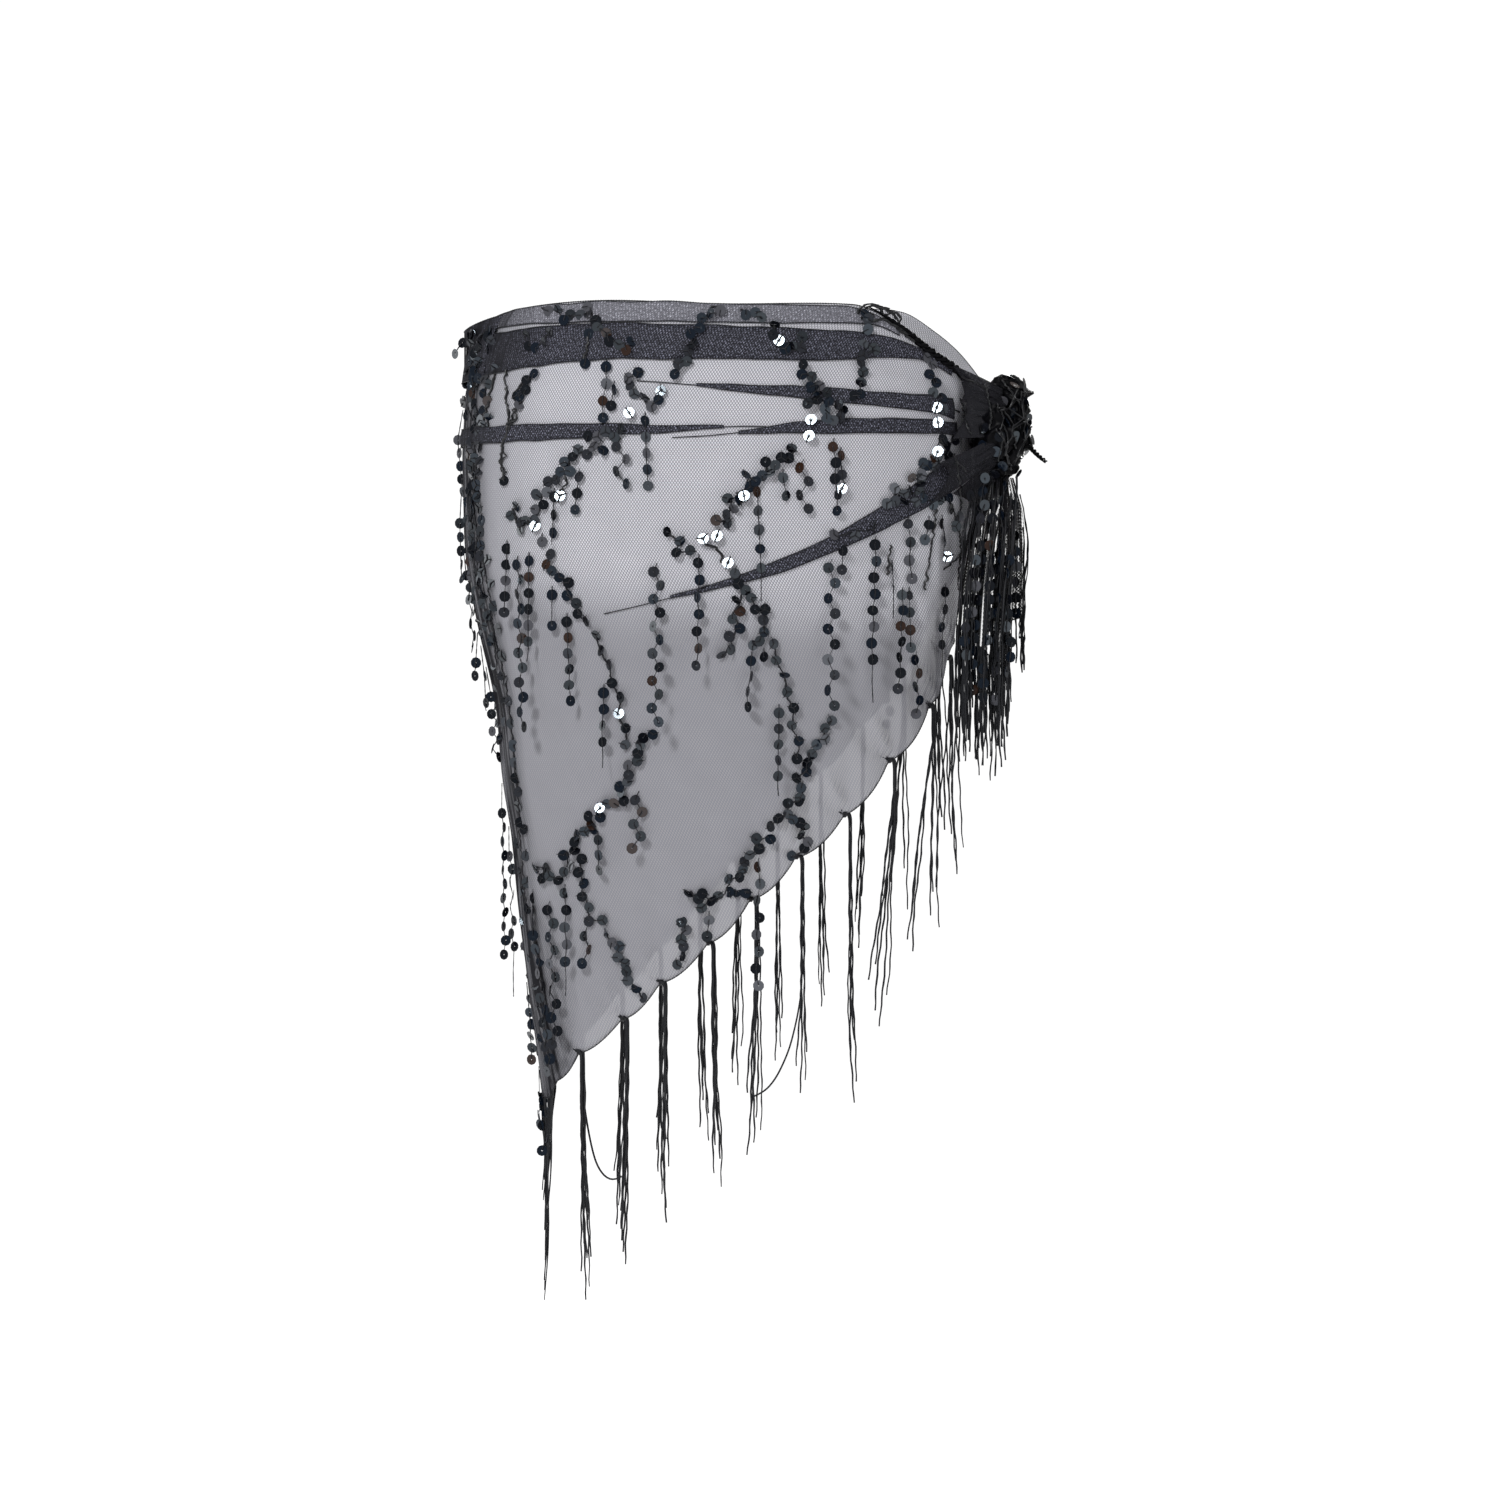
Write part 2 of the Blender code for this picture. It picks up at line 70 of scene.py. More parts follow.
# The photo's scale: a pixel of its 1500 is this long at the middle of the scarf.
PHOTO_PIXELS = 1500
PHOTO_CENTRE = 750
PIXEL = 0.66 * MM
CAMERA_PLACE = Vector((0.0165, -3.2, -0.266))
SENSOR = 36.0

# The hips, as in the solids: each row is one level section, an ellipse.
SECTIONS = [
    (-0.520, 0.1170, 0.024), (-0.480, 0.1215, 0.036), (-0.430, 0.1287, 0.053), (-0.380, 0.1345, 0.066),
    (-0.330, 0.1395, 0.079), (-0.285, 0.1460, 0.090), (-0.233, 0.1510, 0.100), (-0.180, 0.1630, 0.110),
    (-0.140, 0.1703, 0.1145), (-0.100, 0.1723, 0.1150), (-0.060, 0.1729, 0.1145),
    (-0.020, 0.1697, 0.1120), (0.000, 0.1650, 0.1090), (0.020, 0.1550, 0.1040), (0.045, 0.1400, 0.0970),
]
TOP_EDGE = [
    (-204, -0.033), (-190, -0.032), (-180, -0.026), (-168, -0.014), (-153, 0.013), (-143, 0.028),
    (-125, 0.032), (-90, 0.029), (-50, 0.026), (-20, 0.018), (0, 0.011), (20, 0.018), (40, 0.0215),
    (60, 0.0225), (90, 0.019), (122, 0.020), (128, 0.016), (135, 0.004), (141, -0.008), (151, -0.020),
    (160, -0.029), (172, -0.034),
]
BACK_HEM = [
    (-0.096, -0.464), (-0.067, -0.441), (-0.042, -0.417), (-0.011, -0.391), (0.0165, -0.3625),
    (0.046, -0.335), (0.077, -0.308), (0.106, -0.273), (0.133, -0.2375), (0.1455, -0.206),
]
FRONT_HEM = [
    (-0.098, -0.457), (-0.072, -0.428), (-0.047, -0.400), (-0.021, -0.370), (0.004, -0.341),
    (0.031, -0.312), (0.060, -0.282), (0.089, -0.250), (0.117, -0.214), (0.140, -0.172),
]
TIP_HEIGHT = -0.495
HEM_SCALLOP = 5.6 * MM
POINT_TURN = 19
LOBE_HEIGHT = -0.485
HEM_FLARE = 2.5 * MM
KNOT_ANGLE = 160
KNOT_HEIGHT = -0.056
KNOT_STAND = 19.6 * MM
NECK_HEIGHT = -0.090
GATHER_DEPTH = 2.4 * MM
GATHER_RIDGES = 9
GATHER_REACH = 0.085
GATHER_CLEAR = 0.022
HIP_ARC_RADIUS = 0.140
END_ANGLE = -199.4

NET_THICKNESS = 0.4 * MM
BAND_THICKNESS = 0.7 * MM
SHEET_COLUMN_DEGREES = 1.25
SHEET_ROWS = 110


def through(rows, at, column=1):
    """A smooth value read from a table whose first column rises."""
    last = len(rows) - 1
    if at <= rows[0][0]:
        return rows[0][column]
    if at >= rows[last][0]:
        return rows[last][column]
    i = max(k for k in range(last) if rows[k][0] <= at)

    def slope(k):
        low, high = max(k - 1, 0), min(k + 1, last)
        return (rows[high][column] - rows[low][column]) / (rows[high][0] - rows[low][0])

    span = rows[i + 1][0] - rows[i][0]
    s = (at - rows[i][0]) / span
    start, end = rows[i][column], rows[i + 1][column]
    return (
        start * (1 + 2 * s) * (1 - s) ** 2
        + end * s * s * (3 - 2 * s)
        + slope(i) * span * s * (1 - s) ** 2
        + slope(i + 1) * span * s * s * (s - 1)
    )


HEIGHTS = np.arange(-0.560, 0.0465, 0.001)
HALF_WIDTHS = np.array([through(SECTIONS, h, 1) for h in HEIGHTS])
HALF_DEPTHS = np.array([through(SECTIONS, h, 2) for h in HEIGHTS])
ANGLES = np.arange(-205.0, 173.0, 0.5)
TOPS = np.array([through(TOP_EDGE, a) for a in ANGLES])


def half_width(height):
    return np.interp(height, HEIGHTS, HALF_WIDTHS)


def half_depth(height):
    return np.interp(height, HEIGHTS, HALF_DEPTHS)


def top_height(angle):
    return np.interp(angle, ANGLES, TOPS)


# How far along the cloth an angle is from the tip's seam, at each level.
ARC_LEVELS = np.arange(-0.52, 0.05, 0.02)
ARC_TURNS = np.radians(ANGLES)
ARC_TABLE = []
for level in ARC_LEVELS:
    speed = np.hypot(half_width(level) * np.sin(ARC_TURNS), half_depth(level) * np.cos(ARC_TURNS))
    length = np.concatenate([[0], np.cumsum((speed[1:] + speed[:-1]) / 2 * np.diff(ARC_TURNS))])
    ARC_TABLE.append(length - np.interp(0, ANGLES, length))
ARC_TABLE = np.array(ARC_TABLE)


def arc(angle, height):
    """The length of cloth between the tip's line and that angle, at that level."""
    angle, height = np.broadcast_arrays(np.asarray(angle, float), np.asarray(height, float))
    place = np.clip((height - ARC_LEVELS[0]) / (ARC_LEVELS[1] - ARC_LEVELS[0]), 0, len(ARC_LEVELS) - 1.001)
    level = place.astype(int)
    share = place - level
    column = np.clip((angle - ANGLES[0]) / (ANGLES[1] - ANGLES[0]), 0, len(ANGLES) - 1.001)
    left = column.astype(int)
    across = column - left
    low = ARC_TABLE[level, left] * (1 - across) + ARC_TABLE[level, left + 1] * across
    high = ARC_TABLE[level + 1, left] * (1 - across) + ARC_TABLE[level + 1, left + 1] * across
    return low * (1 - share) + high * share


def hem_angle(across, height, side):
    return side * math.degrees(math.acos(-across / half_width(height)))


BACK_PLACES = [(hem_angle(x, z, 1), z) for x, z in BACK_HEM]
FRONT_PLACES = [(hem_angle(x, z, -1), z) for x, z in FRONT_HEM]
HEM_PLACES = FRONT_PLACES[::-1] + [(0.0, TIP_HEIGHT)] + BACK_PLACES
HEM_ANGLES = np.array([p[0] for p in HEM_PLACES])
HEM_HEIGHTS = np.array([p[1] for p in HEM_PLACES])
BACK_END = BACK_PLACES[-1][0]
FRONT_END = FRONT_PLACES[-1][0]


def hem_lobe(angle):
    """0 at a tassel and 1 midway between two."""
    angle = np.asarray(angle, float)
    i = np.clip(np.searchsorted(HEM_ANGLES, angle, side="right") - 1, 0, len(HEM_ANGLES) - 2)
    share = (angle - HEM_ANGLES[i]) / (HEM_ANGLES[i + 1] - HEM_ANGLES[i])
    return np.where((share > 0) & (share < 1), np.sin(np.pi * np.clip(share, 0, 1)), 0.0)


def hem_height(angle):
    """The hem's height: straight across the point, and drawn in to the knot past the last hidden tassel."""
    angle = np.asarray(angle, float)
    plain = np.interp(angle, HEM_ANGLES, HEM_HEIGHTS)
    first_angle, first_height = BACK_PLACES[0]
    past_point = np.clip((np.abs(angle) - POINT_TURN) / (0.35 * POINT_TURN), 0, 1)
    lowest = TIP_HEIGHT + (LOBE_HEIGHT - TIP_HEIGHT) * past_point
    share = (1 - np.cos(np.radians(angle))) / (1 - math.cos(math.radians(first_angle)))
    at_point = lowest + (first_height - lowest) * np.minimum(share, 1) ** 3
    scalloped = plain - HEM_SCALLOP * hem_lobe(angle) ** 0.8
    plain = np.where(np.abs(angle) < first_angle, at_point, scalloped)
    share = np.clip((angle - FRONT_END) / (END_ANGLE - FRONT_END), 0, 1)
    drawn_in = 1 - (1 - share) ** 2
    free = HEM_HEIGHTS[0] + (NECK_HEIGHT - HEM_HEIGHTS[0]) * drawn_in
    return np.where(angle < FRONT_END, free, plain)


# Soft creases: from angle and height, to angle and height, then in mm how far out or in, and half the width.
CREASES = [
    (66, -0.186, 90, -0.160, -1.6, 5), (70, -0.073, 88, -0.066, 1.4, 5),
    (150, -0.118, 119, -0.200, 2.2, 7), (152, -0.140, 134, -0.232, 2.0, 7),
    (147, -0.108, 108, -0.168, -1.5, 6), (154, -0.150, 146, -0.222, -1.8, 5),
    (30, -0.085, 36, -0.190, 1.7, 6), (20, -0.075, 24, -0.240, -1.6, 6),
    (12, -0.070, 14, -0.300, 1.8, 5), (44, -0.230, 52, -0.350, 1.4, 8),
    (26, -0.280, 34, -0.420, -1.6, 7), (10, -0.330, 16, -0.470, 1.8, 6),
    (62, -0.010, 100, -0.028, 0.9, 5), (96, -0.212, 112, -0.290, -1.4, 8),
    (60, -0.300, 84, -0.372, 1.3, 9), (120, -0.010, 146, -0.034, -1.2, 5),
    (-30, -0.085, -38, -0.200, 1.6, 6), (-16, -0.070, -20, -0.260, -1.7, 6),
    (-8, -0.200, -12, -0.440, 1.7, 6), (-50, -0.240, -60, -0.350, 1.4, 8),
    (-28, -0.300, -38, -0.420, -1.6, 7), (-150, -0.116, -112, -0.205, 2.2, 7),
    (-168, -0.110, -128, -0.225, -1.9, 7), (-182, -0.100, -152, -0.185, 2.0, 6),
    (-90, -0.070, -72, -0.076, 1.2, 5), (-70, -0.180, -96, -0.150, -1.5, 6),
    (-190, -0.075, -172, -0.130, -1.6, 5), (2, -0.030, 2, -0.300, -1.3, 3),
    (5, -0.060, 6, -0.400, 1.5, 3), (8, -0.100, 9, -0.460, -1.3, 2.5), (-4, -0.060, -5, -0.420, 1.4, 3),
    (61, -0.178, 67, -0.166, 1.0, 1.6), (47, -0.262, 58, -0.290, 0.9, 1.6),
    (140, -0.150, 137, -0.215, -1.6, 3.5), (146, -0.120, 144, -0.195, 1.8, 3.5),
    (151, -0.110, 149, -0.180, -1.8, 3.5), (128, -0.185, 122, -0.232, 1.6, 4),
]
PUCKER_TURN = 6.0
PUCKER_RISE = 0.034
PUCKER_DEPTH = 2.3
PUCKER_WIDTH = 2.8


def puckers():
    """A short crease up from each tassel, where its yarn draws the hem together."""
    rows = []
    for angle, height in BACK_PLACES + FRONT_PLACES:
        lean = -PUCKER_TURN if angle > 0 else PUCKER_TURN
        for turns, rise, depth in ((1, 1.0, PUCKER_DEPTH), (2, 0.4, -PUCKER_DEPTH)):
            top = (angle + turns * lean, height + rise * PUCKER_RISE)
            rows.append((angle, height, *top, depth, PUCKER_WIDTH))
    return rows


ALL_CREASES = [
    (float(arc(a1, (h1 + h2) / 2)), h1, float(arc(a2, (h1 + h2) / 2)), h2, depth * MM, width * MM)
    for a1, h1, a2, h2, depth, width in CREASES + puckers()
]


def creases(angle, height):
    """How far the soft creases move the cloth out at a point."""
    across = arc(angle, height)
    moved = np.zeros_like(across)
    for x1, z1, x2, z2, depth, width in ALL_CREASES:
        run, rise = x2 - x1, z2 - z1
        share = np.clip(((across - x1) * run + (height - z1) * rise) / (run * run + rise * rise), 0, 1)
        away = np.hypot(across - x1 - share * run, height - z1 - share * rise)
        taper = np.sin(np.pi * np.clip(share * 0.9 + 0.08, 0, 1))
        moved += depth * taper * np.exp(-((away / width) ** 2))
    return moved


def gather(angle, height):
    """The ridges that run out from the knot, as in the solids."""
    along = (np.mod(angle - KNOT_ANGLE + 180, 360) - 180) * math.pi / 180 * HIP_ARC_RADIUS
    up = height - KNOT_HEIGHT
    away = np.hypot(along, up)
    fade = np.clip((away - GATHER_CLEAR) / GATHER_CLEAR, 0, 1) * np.exp(-((away / GATHER_REACH) ** 2))
    return GATHER_DEPTH * fade * 0.5 * (1 + np.cos(GATHER_RIDGES * np.arctan2(up, along)))


def hip_point(angle, height, lift=0.0):
    """Points of the worn cloth's outer face, moved out by lift."""
    angle, height = np.broadcast_arrays(np.asarray(angle, float), np.asarray(height, float))
    turn = np.radians(angle)
    a, b = half_width(height), half_depth(height)
    out = np.stack([-b * np.cos(turn), -a * np.sin(turn)], -1)
    out /= np.linalg.norm(out, axis=-1, keepdims=True)
    moved = lift + gather(angle, height) + creases(angle, height)
    x = -a * np.cos(turn) + out[..., 0] * moved
    y = -b * np.sin(turn) + out[..., 1] * moved
    return np.stack([x, y, height], -1)


def outward(angle, height):
    """The level direction out of the hips at a place on them."""
    turn = math.radians(angle)
    across, away = half_depth(height) * math.cos(turn), half_width(height) * math.sin(turn)
    return Vector((-across, -away, 0)).normalized()


def on_photo(px, py, nearer=1.0):
    """How far across and how high a pixel of the photo is, at that share of the way from the camera."""
    across = CAMERA_PLACE.x + (px - PHOTO_CENTRE) * PIXEL * nearer
    height = CAMERA_PLACE.z + (PHOTO_CENTRE - py) * PIXEL * nearer
    return across, height


def seen_at(px, py):
    """The angle and height on the photographed side of the cloth at a pixel of the photo."""
    away = 0.1
    for _ in range(6):
        nearer = (-CAMERA_PLACE.y - away) / -CAMERA_PLACE.y
        x, z = on_photo(px, py, nearer)
        angle = math.degrees(math.acos(max(-1, min(1, -x / half_width(z)))))
        away = half_depth(z) * math.sin(math.radians(angle))
    return angle, z


NET_PITCH = 1.65 * MM
# How much a thread of the net runs across and up as it slants.
THREAD_ACROSS = 0.86
THREAD_UP = 0.62
# How dark the painted shade leaves the haze where the net hangs low, as a share of its colour.
LOW_SHADE = 0.50
GATHERED_TONE = (0.0075, 0.0075, 0.0095)
GATHERED_FILL = 0.93
# How fine each pattern of noise in the net is, along the cloth and down it.
PLEAT_SCALE = (330, 16, 1)
GRAIN_SCALE = (760, 760, 1)
PATCH_SCALE = (40, 40, 1)
STRAND_SCALE = (520, 11, 1)
PATCH_DEPTH = 0.06
STRAND_GAPS = 0.35
YARN_NOISE = 900
YARN_BUMP = 0.2 * MM


def shader_material(name, colour, roughness, specular=0.5):
    made = bpy.data.materials.new(name)
    made.use_nodes = True
    shader = made.node_tree.nodes["Principled BSDF"]
    shader.inputs["Base Color"].default_value = (*colour, 1)
    shader.inputs["Roughness"].default_value = roughness
    shader.inputs["Specular IOR Level"].default_value = specular
    return made, made.node_tree, shader


def add_node(tree, kind, **values):
    node = tree.nodes.new(kind)
    for key, value in values.items():
        setattr(node, key, value)
    return node


def math_node(tree, operation, first, second=None, third=None):
    node = add_node(tree, "ShaderNodeMath", operation=operation)
    for socket, value in zip(node.inputs, (first, second, third)):
        if value is None:
            continue
        if isinstance(value, (int, float)):
            socket.default_value = value
        else:
            tree.links.new(value, socket)
    return node.outputs[0]


def net_threads(tree, thread, where):
    """1 on the threads of a diamond net and 0 in its holes. thread is a thread's share of the pitch."""
    split = add_node(tree, "ShaderNodeSeparateXYZ")
    tree.links.new(where, split.inputs[0])
    lines = []
    for lean in (-1, 1):
        across = math_node(tree, "MULTIPLY", split.outputs[0], THREAD_ACROSS / NET_PITCH)
        slanted = math_node(tree, "MULTIPLY_ADD", split.outputs[1], lean * THREAD_UP / NET_PITCH, across)
        wave = math_node(tree, "PINGPONG", slanted, 0.5)
        lines.append(math_node(tree, "LESS_THAN", wave, thread / 2))
    return math_node(tree, "MAXIMUM", *lines)


def blend(tree, factor, first, second):
    """A colour between two. Each is a colour or a socket."""
    node = add_node(tree, "ShaderNodeMix", data_type="RGBA")
    tree.links.new(factor, node.inputs[0])
    for socket, value in ((node.inputs[6], first), (node.inputs[7], second)):
        if isinstance(value, tuple):
            socket.default_value = (*value, 1)
        else:
            tree.links.new(value, socket)
    return node.outputs[2]


def stretched_noise(tree, where, scale):
    """Noise with its own scale each way, from 0 to 1."""
    moved = add_node(tree, "ShaderNodeVectorMath", operation="MULTIPLY")
    tree.links.new(where, moved.inputs[0])
    moved.inputs[1].default_value = scale
    made = add_node(tree, "ShaderNodeTexNoise")
    made.inputs["Scale"].default_value = 1
    made.inputs["Detail"].default_value = 3
    tree.links.new(moved.outputs[0], made.inputs["Vector"])
    ramp = add_node(tree, "ShaderNodeMapRange")
    ramp.inputs["From Min"].default_value = 0.32
    ramp.inputs["From Max"].default_value = 0.68
    tree.links.new(made.outputs[0], ramp.inputs["Value"])
    return ramp.outputs[0]


def net_material(name, thread_colour, haze, thread_share, alphas, specks=0.0, streaks=0.0):
    """Sheer net: threads with a haze of finer holes between them. The haze takes painted shade where the net
    hangs low and beside the point, and both are darker and denser where it is gathered. alphas are those of a
    thread and of a hole."""
    made, tree, shader = shader_material(name, haze, 0.75, 0.10)
    uv = add_node(tree, "ShaderNodeUVMap", uv_map="cloth").outputs[0]
    threads = net_threads(tree, thread_share, uv)
    low = add_node(tree, "ShaderNodeAttribute", attribute_name="low").outputs["Fac"]
    gathered = add_node(tree, "ShaderNodeAttribute", attribute_name="gathered").outputs["Fac"]
    pleats = stretched_noise(tree, uv, PLEAT_SCALE)
    gathered = math_node(tree, "MULTIPLY", gathered, math_node(tree, "MULTIPLY_ADD", pleats, 0.8, 0.55))
    gathered = math_node(tree, "MINIMUM", gathered, 1.0)

    # Painted shade: the haze goes darker where the low attribute marks it, below the hips' curve and beside
    # the point.
    shade = tuple(c * LOW_SHADE for c in haze)
    fill = blend(tree, low, haze, shade)
    if specks:
        grains = math_node(tree, "POWER", stretched_noise(tree, uv, GRAIN_SCALE), 2.2)
        dull, pale = [tuple(c * share for c in haze) for share in (0.3, 1 + 3 * specks)]
        fill = blend(tree, grains, dull, pale)
    colour = blend(tree, threads, fill, thread_colour)
    colour = blend(tree, gathered, colour, GATHERED_TONE)
    tree.links.new(colour, shader.inputs["Base Color"])

    over_thread, over_hole = alphas
    patches = stretched_noise(tree, uv, PATCH_SCALE)
    hole = math_node(tree, "MULTIPLY_ADD", patches, PATCH_DEPTH, over_hole - PATCH_DEPTH / 2)
    if streaks:
        strands = stretched_noise(tree, uv, STRAND_SCALE)
        hole = math_node(tree, "MULTIPLY_ADD", strands, streaks, over_hole - streaks / 2)
        threads = math_node(tree, "MULTIPLY", threads, math_node(tree, "GREATER_THAN", strands, STRAND_GAPS))
    alpha = add_node(tree, "ShaderNodeMix")
    tree.links.new(threads, alpha.inputs["Factor"])
    tree.links.new(hole, alpha.inputs["A"])
    alpha.inputs["B"].default_value = over_thread
    rest = math_node(tree, "SUBTRACT", 1.0, alpha.outputs[0])
    closed = math_node(tree, "MULTIPLY", gathered, GATHERED_FILL)
    filled = math_node(tree, "MULTIPLY_ADD", rest, closed, alpha.outputs[0])
    tree.links.new(filled, shader.inputs["Alpha"])
    return made


def yarn_material(name, colour, roughness):
    """Twisted thread: fine slanting lines in its bump and a little variation in its colour."""
    made, tree, shader = shader_material(name, colour, roughness, 0.2)
    place = add_node(tree, "ShaderNodeTexCoord")
    twist = add_node(tree, "ShaderNodeTexNoise")
    twist.inputs["Scale"].default_value = YARN_NOISE
    tree.links.new(place.outputs["Object"], twist.inputs["Vector"])
    shades = add_node(tree, "ShaderNodeValToRGB")
    shades.color_ramp.elements[0].color = (*[c * 0.5 for c in colour], 1)
    shades.color_ramp.elements[1].color = (*[c * 1.9 for c in colour], 1)
    tree.links.new(twist.outputs[0], shades.inputs[0])
    tree.links.new(shades.outputs[0], shader.inputs["Base Color"])
    bump = add_node(tree, "ShaderNodeBump")
    bump.inputs["Strength"].default_value = 0.5
    bump.inputs["Distance"].default_value = YARN_BUMP
    tree.links.new(twist.outputs[0], bump.inputs["Height"])
    tree.links.new(bump.outputs[0], shader.inputs["Normal"])
    return made


# Each net's thread and haze colours, a thread's share of the pitch, and how opaque a thread and a hole are.
# The sheer net and its doubled edge get pale grey threads and haze. This is painted sheen from the lights and
# painted shade of the hips seen through the net. Their own threads are near black.
NET = net_material("sheer_net", (0.160, 0.160, 0.182), (0.615, 0.615, 0.655), 0.30, (0.86, 0.62))
HEM_FOLD = net_material(
    "double_net", (0.085, 0.085, 0.10), (0.36, 0.36, 0.41), 0.36, (0.92, 0.62), specks=0.25
)
FOLDED = net_material(
    "folded_net", (0.009, 0.009, 0.012), (0.042, 0.043, 0.056), 0.36, (0.985, 0.88), specks=1.5
)
TAIL_NET = net_material(
    "pleated_net", (0.003, 0.003, 0.004), (0.007, 0.007, 0.009), 0.36, (0.95, 0.38), streaks=1.7
)
KNOT_WEB = net_material("gathered_net", (0.005, 0.005, 0.007), (0.016, 0.016, 0.020), 0.40, (0.85, 0.34))
KNOT_NET, _, _ = shader_material("bunched_net", (0.0012, 0.0012, 0.0018), 0.40, 0.05)
SHINY_THREAD, _, _ = shader_material("shiny_thread", (0.0035, 0.0038, 0.0050), 0.30, 0.35)
YARN = yarn_material("fringe_yarn", (0.0050, 0.0054, 0.0070), 0.5)
EDGE_THREAD = yarn_material("edge_thread", (0.0060, 0.0062, 0.0080), 0.5)


def dress(obj, slot, *nodes):
    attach(obj, "root")
    if nodes:
        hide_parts(*nodes)
    return obj


def placed(name, data):
    made = bpy.data.objects.new(name, data)
    bpy.context.scene.collection.objects.link(made)
    return made


def smooth(obj):
    obj.data.polygons.foreach_set("use_smooth", [True] * len(obj.data.polygons))


def deselect():
    bpy.ops.object.select_all(action="DESELECT")


def link_mesh(name, points, faces, material):
    mesh = bpy.data.meshes.new(name)
    mesh.from_pydata([tuple(p) for p in points], [], [tuple(f) for f in faces])
    mesh.materials.append(material)
    return placed(name, mesh)


def apply_modifier(obj, kind, **values):
    bpy.context.view_layer.objects.active = obj
    made = obj.modifiers.new(kind.lower(), kind)
    for key, value in values.items():
        setattr(made, key, value)
    bpy.ops.object.modifier_apply(modifier=made.name)


def shell(name, points, uvs, thickness, material):
    """A thin cloth shell from a grid of points, outer face first, with its flat place as a UV map."""
    rows, columns = points.shape[:2]
    index = np.arange(rows * columns).reshape(rows, columns)
    faces = np.stack([index[1:, :-1], index[1:, 1:], index[:-1, 1:], index[:-1, :-1]], -1).reshape(-1, 4)
    obj = link_mesh(name, points.reshape(-1, 3), faces, material)
    layer = obj.data.uv_layers.new(name="cloth")
    corners = np.array([loop.vertex_index for loop in obj.data.loops])
    layer.data.foreach_set("uv", uvs.reshape(-1, 2)[corners].astype(np.float32).ravel())
    apply_modifier(obj, "SOLIDIFY", thickness=thickness, offset=-1)
    smooth(obj)
    return obj


# Painted shade under the hips' lower curve: the level where it starts, how far down it deepens, and its lean
# across.
LOW_START = -0.150
LOW_REACH = 0.056
LOW_LEAN = 0.10
FOLD_TURN = 28
# The fold over the point widens under a level, over a reach, by so many degrees.
FOLD_WIDER_BELOW = (-0.36, 0.06, 13)
FOLD_STEEPNESS = 2.6
FOLD_SHARE = 0.95
# Painted shade deepens the haze between these angles from the point's middle, by this share.
EDGE_SHADE = (24, 48, 0.95)
KNOT_CORE = 0.020
# The pleats under the knot: from angle, to angle, from height, to height, and their share.
UNDER_KNOT = (140, 152, -0.080, -0.110, 0.25)
# How far from the knot's core the net and the folds are gathered.
NET_KNOT_REACH = 0.018
BAND_KNOT_REACH = 0.045
BAND_FOLD_SHARE = 0.8


def mark_gathers(obj, knot_reach, fold_share=FOLD_SHARE, fold_turn=FOLD_TURN):
    """Notes on each point how far the net is gathered, and how much painted shade it takes where it hangs
    low.
    Gathers lie at the knot, in the pleats under it, and along the fold over the hanging point."""
    points = np.array([v.co for v in obj.data.vertices])
    x, y, z = points.T
    angle = np.degrees(np.arctan2(-y / half_depth(z), -x / half_width(z)))
    away = np.linalg.norm(points - np.array(KNOT_CENTRE), axis=1)
    at_knot = np.clip(1 - (away - KNOT_CORE) / knot_reach, 0, 1)
    level, reach, wider = FOLD_WIDER_BELOW
    turn = fold_turn + wider * np.clip((level - z) / reach, 0, 1)
    at_fold = np.clip(FOLD_STEEPNESS * (1 - np.abs(angle) / turn), 0, 1) * fold_share
    start, full, top, below, share = UNDER_KNOT
    beside = np.clip((np.abs(angle) - start) / (full - start), 0, 1)
    pleated = beside * np.clip((z - top) / (below - top), 0, 1) * share
    gathered = 1 - (1 - at_knot) * (1 - at_fold) * (1 - pleated)
    # Painted shade: the low attribute darkens the haze below the hips' lower curve, and in a band beside the
    # fold over the point.
    fall = np.clip((LOW_START - z - LOW_LEAN * x) / LOW_REACH, 0, 1)
    inner, outer, shade = EDGE_SHADE
    at_edge = np.clip((outer - np.abs(angle)) / (outer - inner), 0, 1) * shade
    low = 1 - (1 - fall * fall * (3 - 2 * fall)) * (1 - at_edge)
    for name, values in (("gathered", gathered), ("low", low)):
        layer = obj.data.attributes.new(name, "FLOAT", "POINT")
        layer.data.foreach_set("value", values.astype(np.float32))


def threads(name, runs, radius, material, sides=0):
    """Threads as one curve, made a mesh. Each run is its points and their sizes, as shares of the radius."""
    curve = bpy.data.curves.new(name, "CURVE")
    curve.dimensions = "3D"
    curve.bevel_depth = radius
    curve.bevel_resolution = sides
    curve.use_fill_caps = True
    for run, sizes in runs:
        spline = curve.splines.new("POLY")
        spline.points.add(len(run) - 1)
        for point, place, size in zip(spline.points, run, sizes):
            point.co = (*place, 1)
            point.radius = size
    curve.materials.append(material)
    deselect()
    obj = placed(name, curve)
    bpy.context.view_layer.objects.active = obj
    obj.select_set(True)
    bpy.ops.object.convert(target="MESH")
    obj = bpy.context.view_layer.objects.active
    smooth(obj)
    return obj


def walked(points):
    """How far along a run each of its points is."""
    return np.concatenate([[0], np.cumsum(np.linalg.norm(np.diff(points, axis=0), axis=1))])


def spaced(points, step):
    """The same run, of places or of pixels, with its points a step apart."""
    points = np.asarray(points, float)
    lengths = walked(points)
    count = max(2, int(round(lengths[-1] / step)) + 1)
    places = np.linspace(0, lengths[-1], count)
    return np.stack([np.interp(places, lengths, column) for column in points.T], -1)


STITCH_STEP = 0.9 * MM
STITCH_THIN = 0.62


def stitched(points):
    """An overlocked edge: a run whose thickness swells at each stitch."""
    run = spaced(points, STITCH_STEP)
    return run, [1.0 if k % 2 else STITCH_THIN for k in range(len(run))]


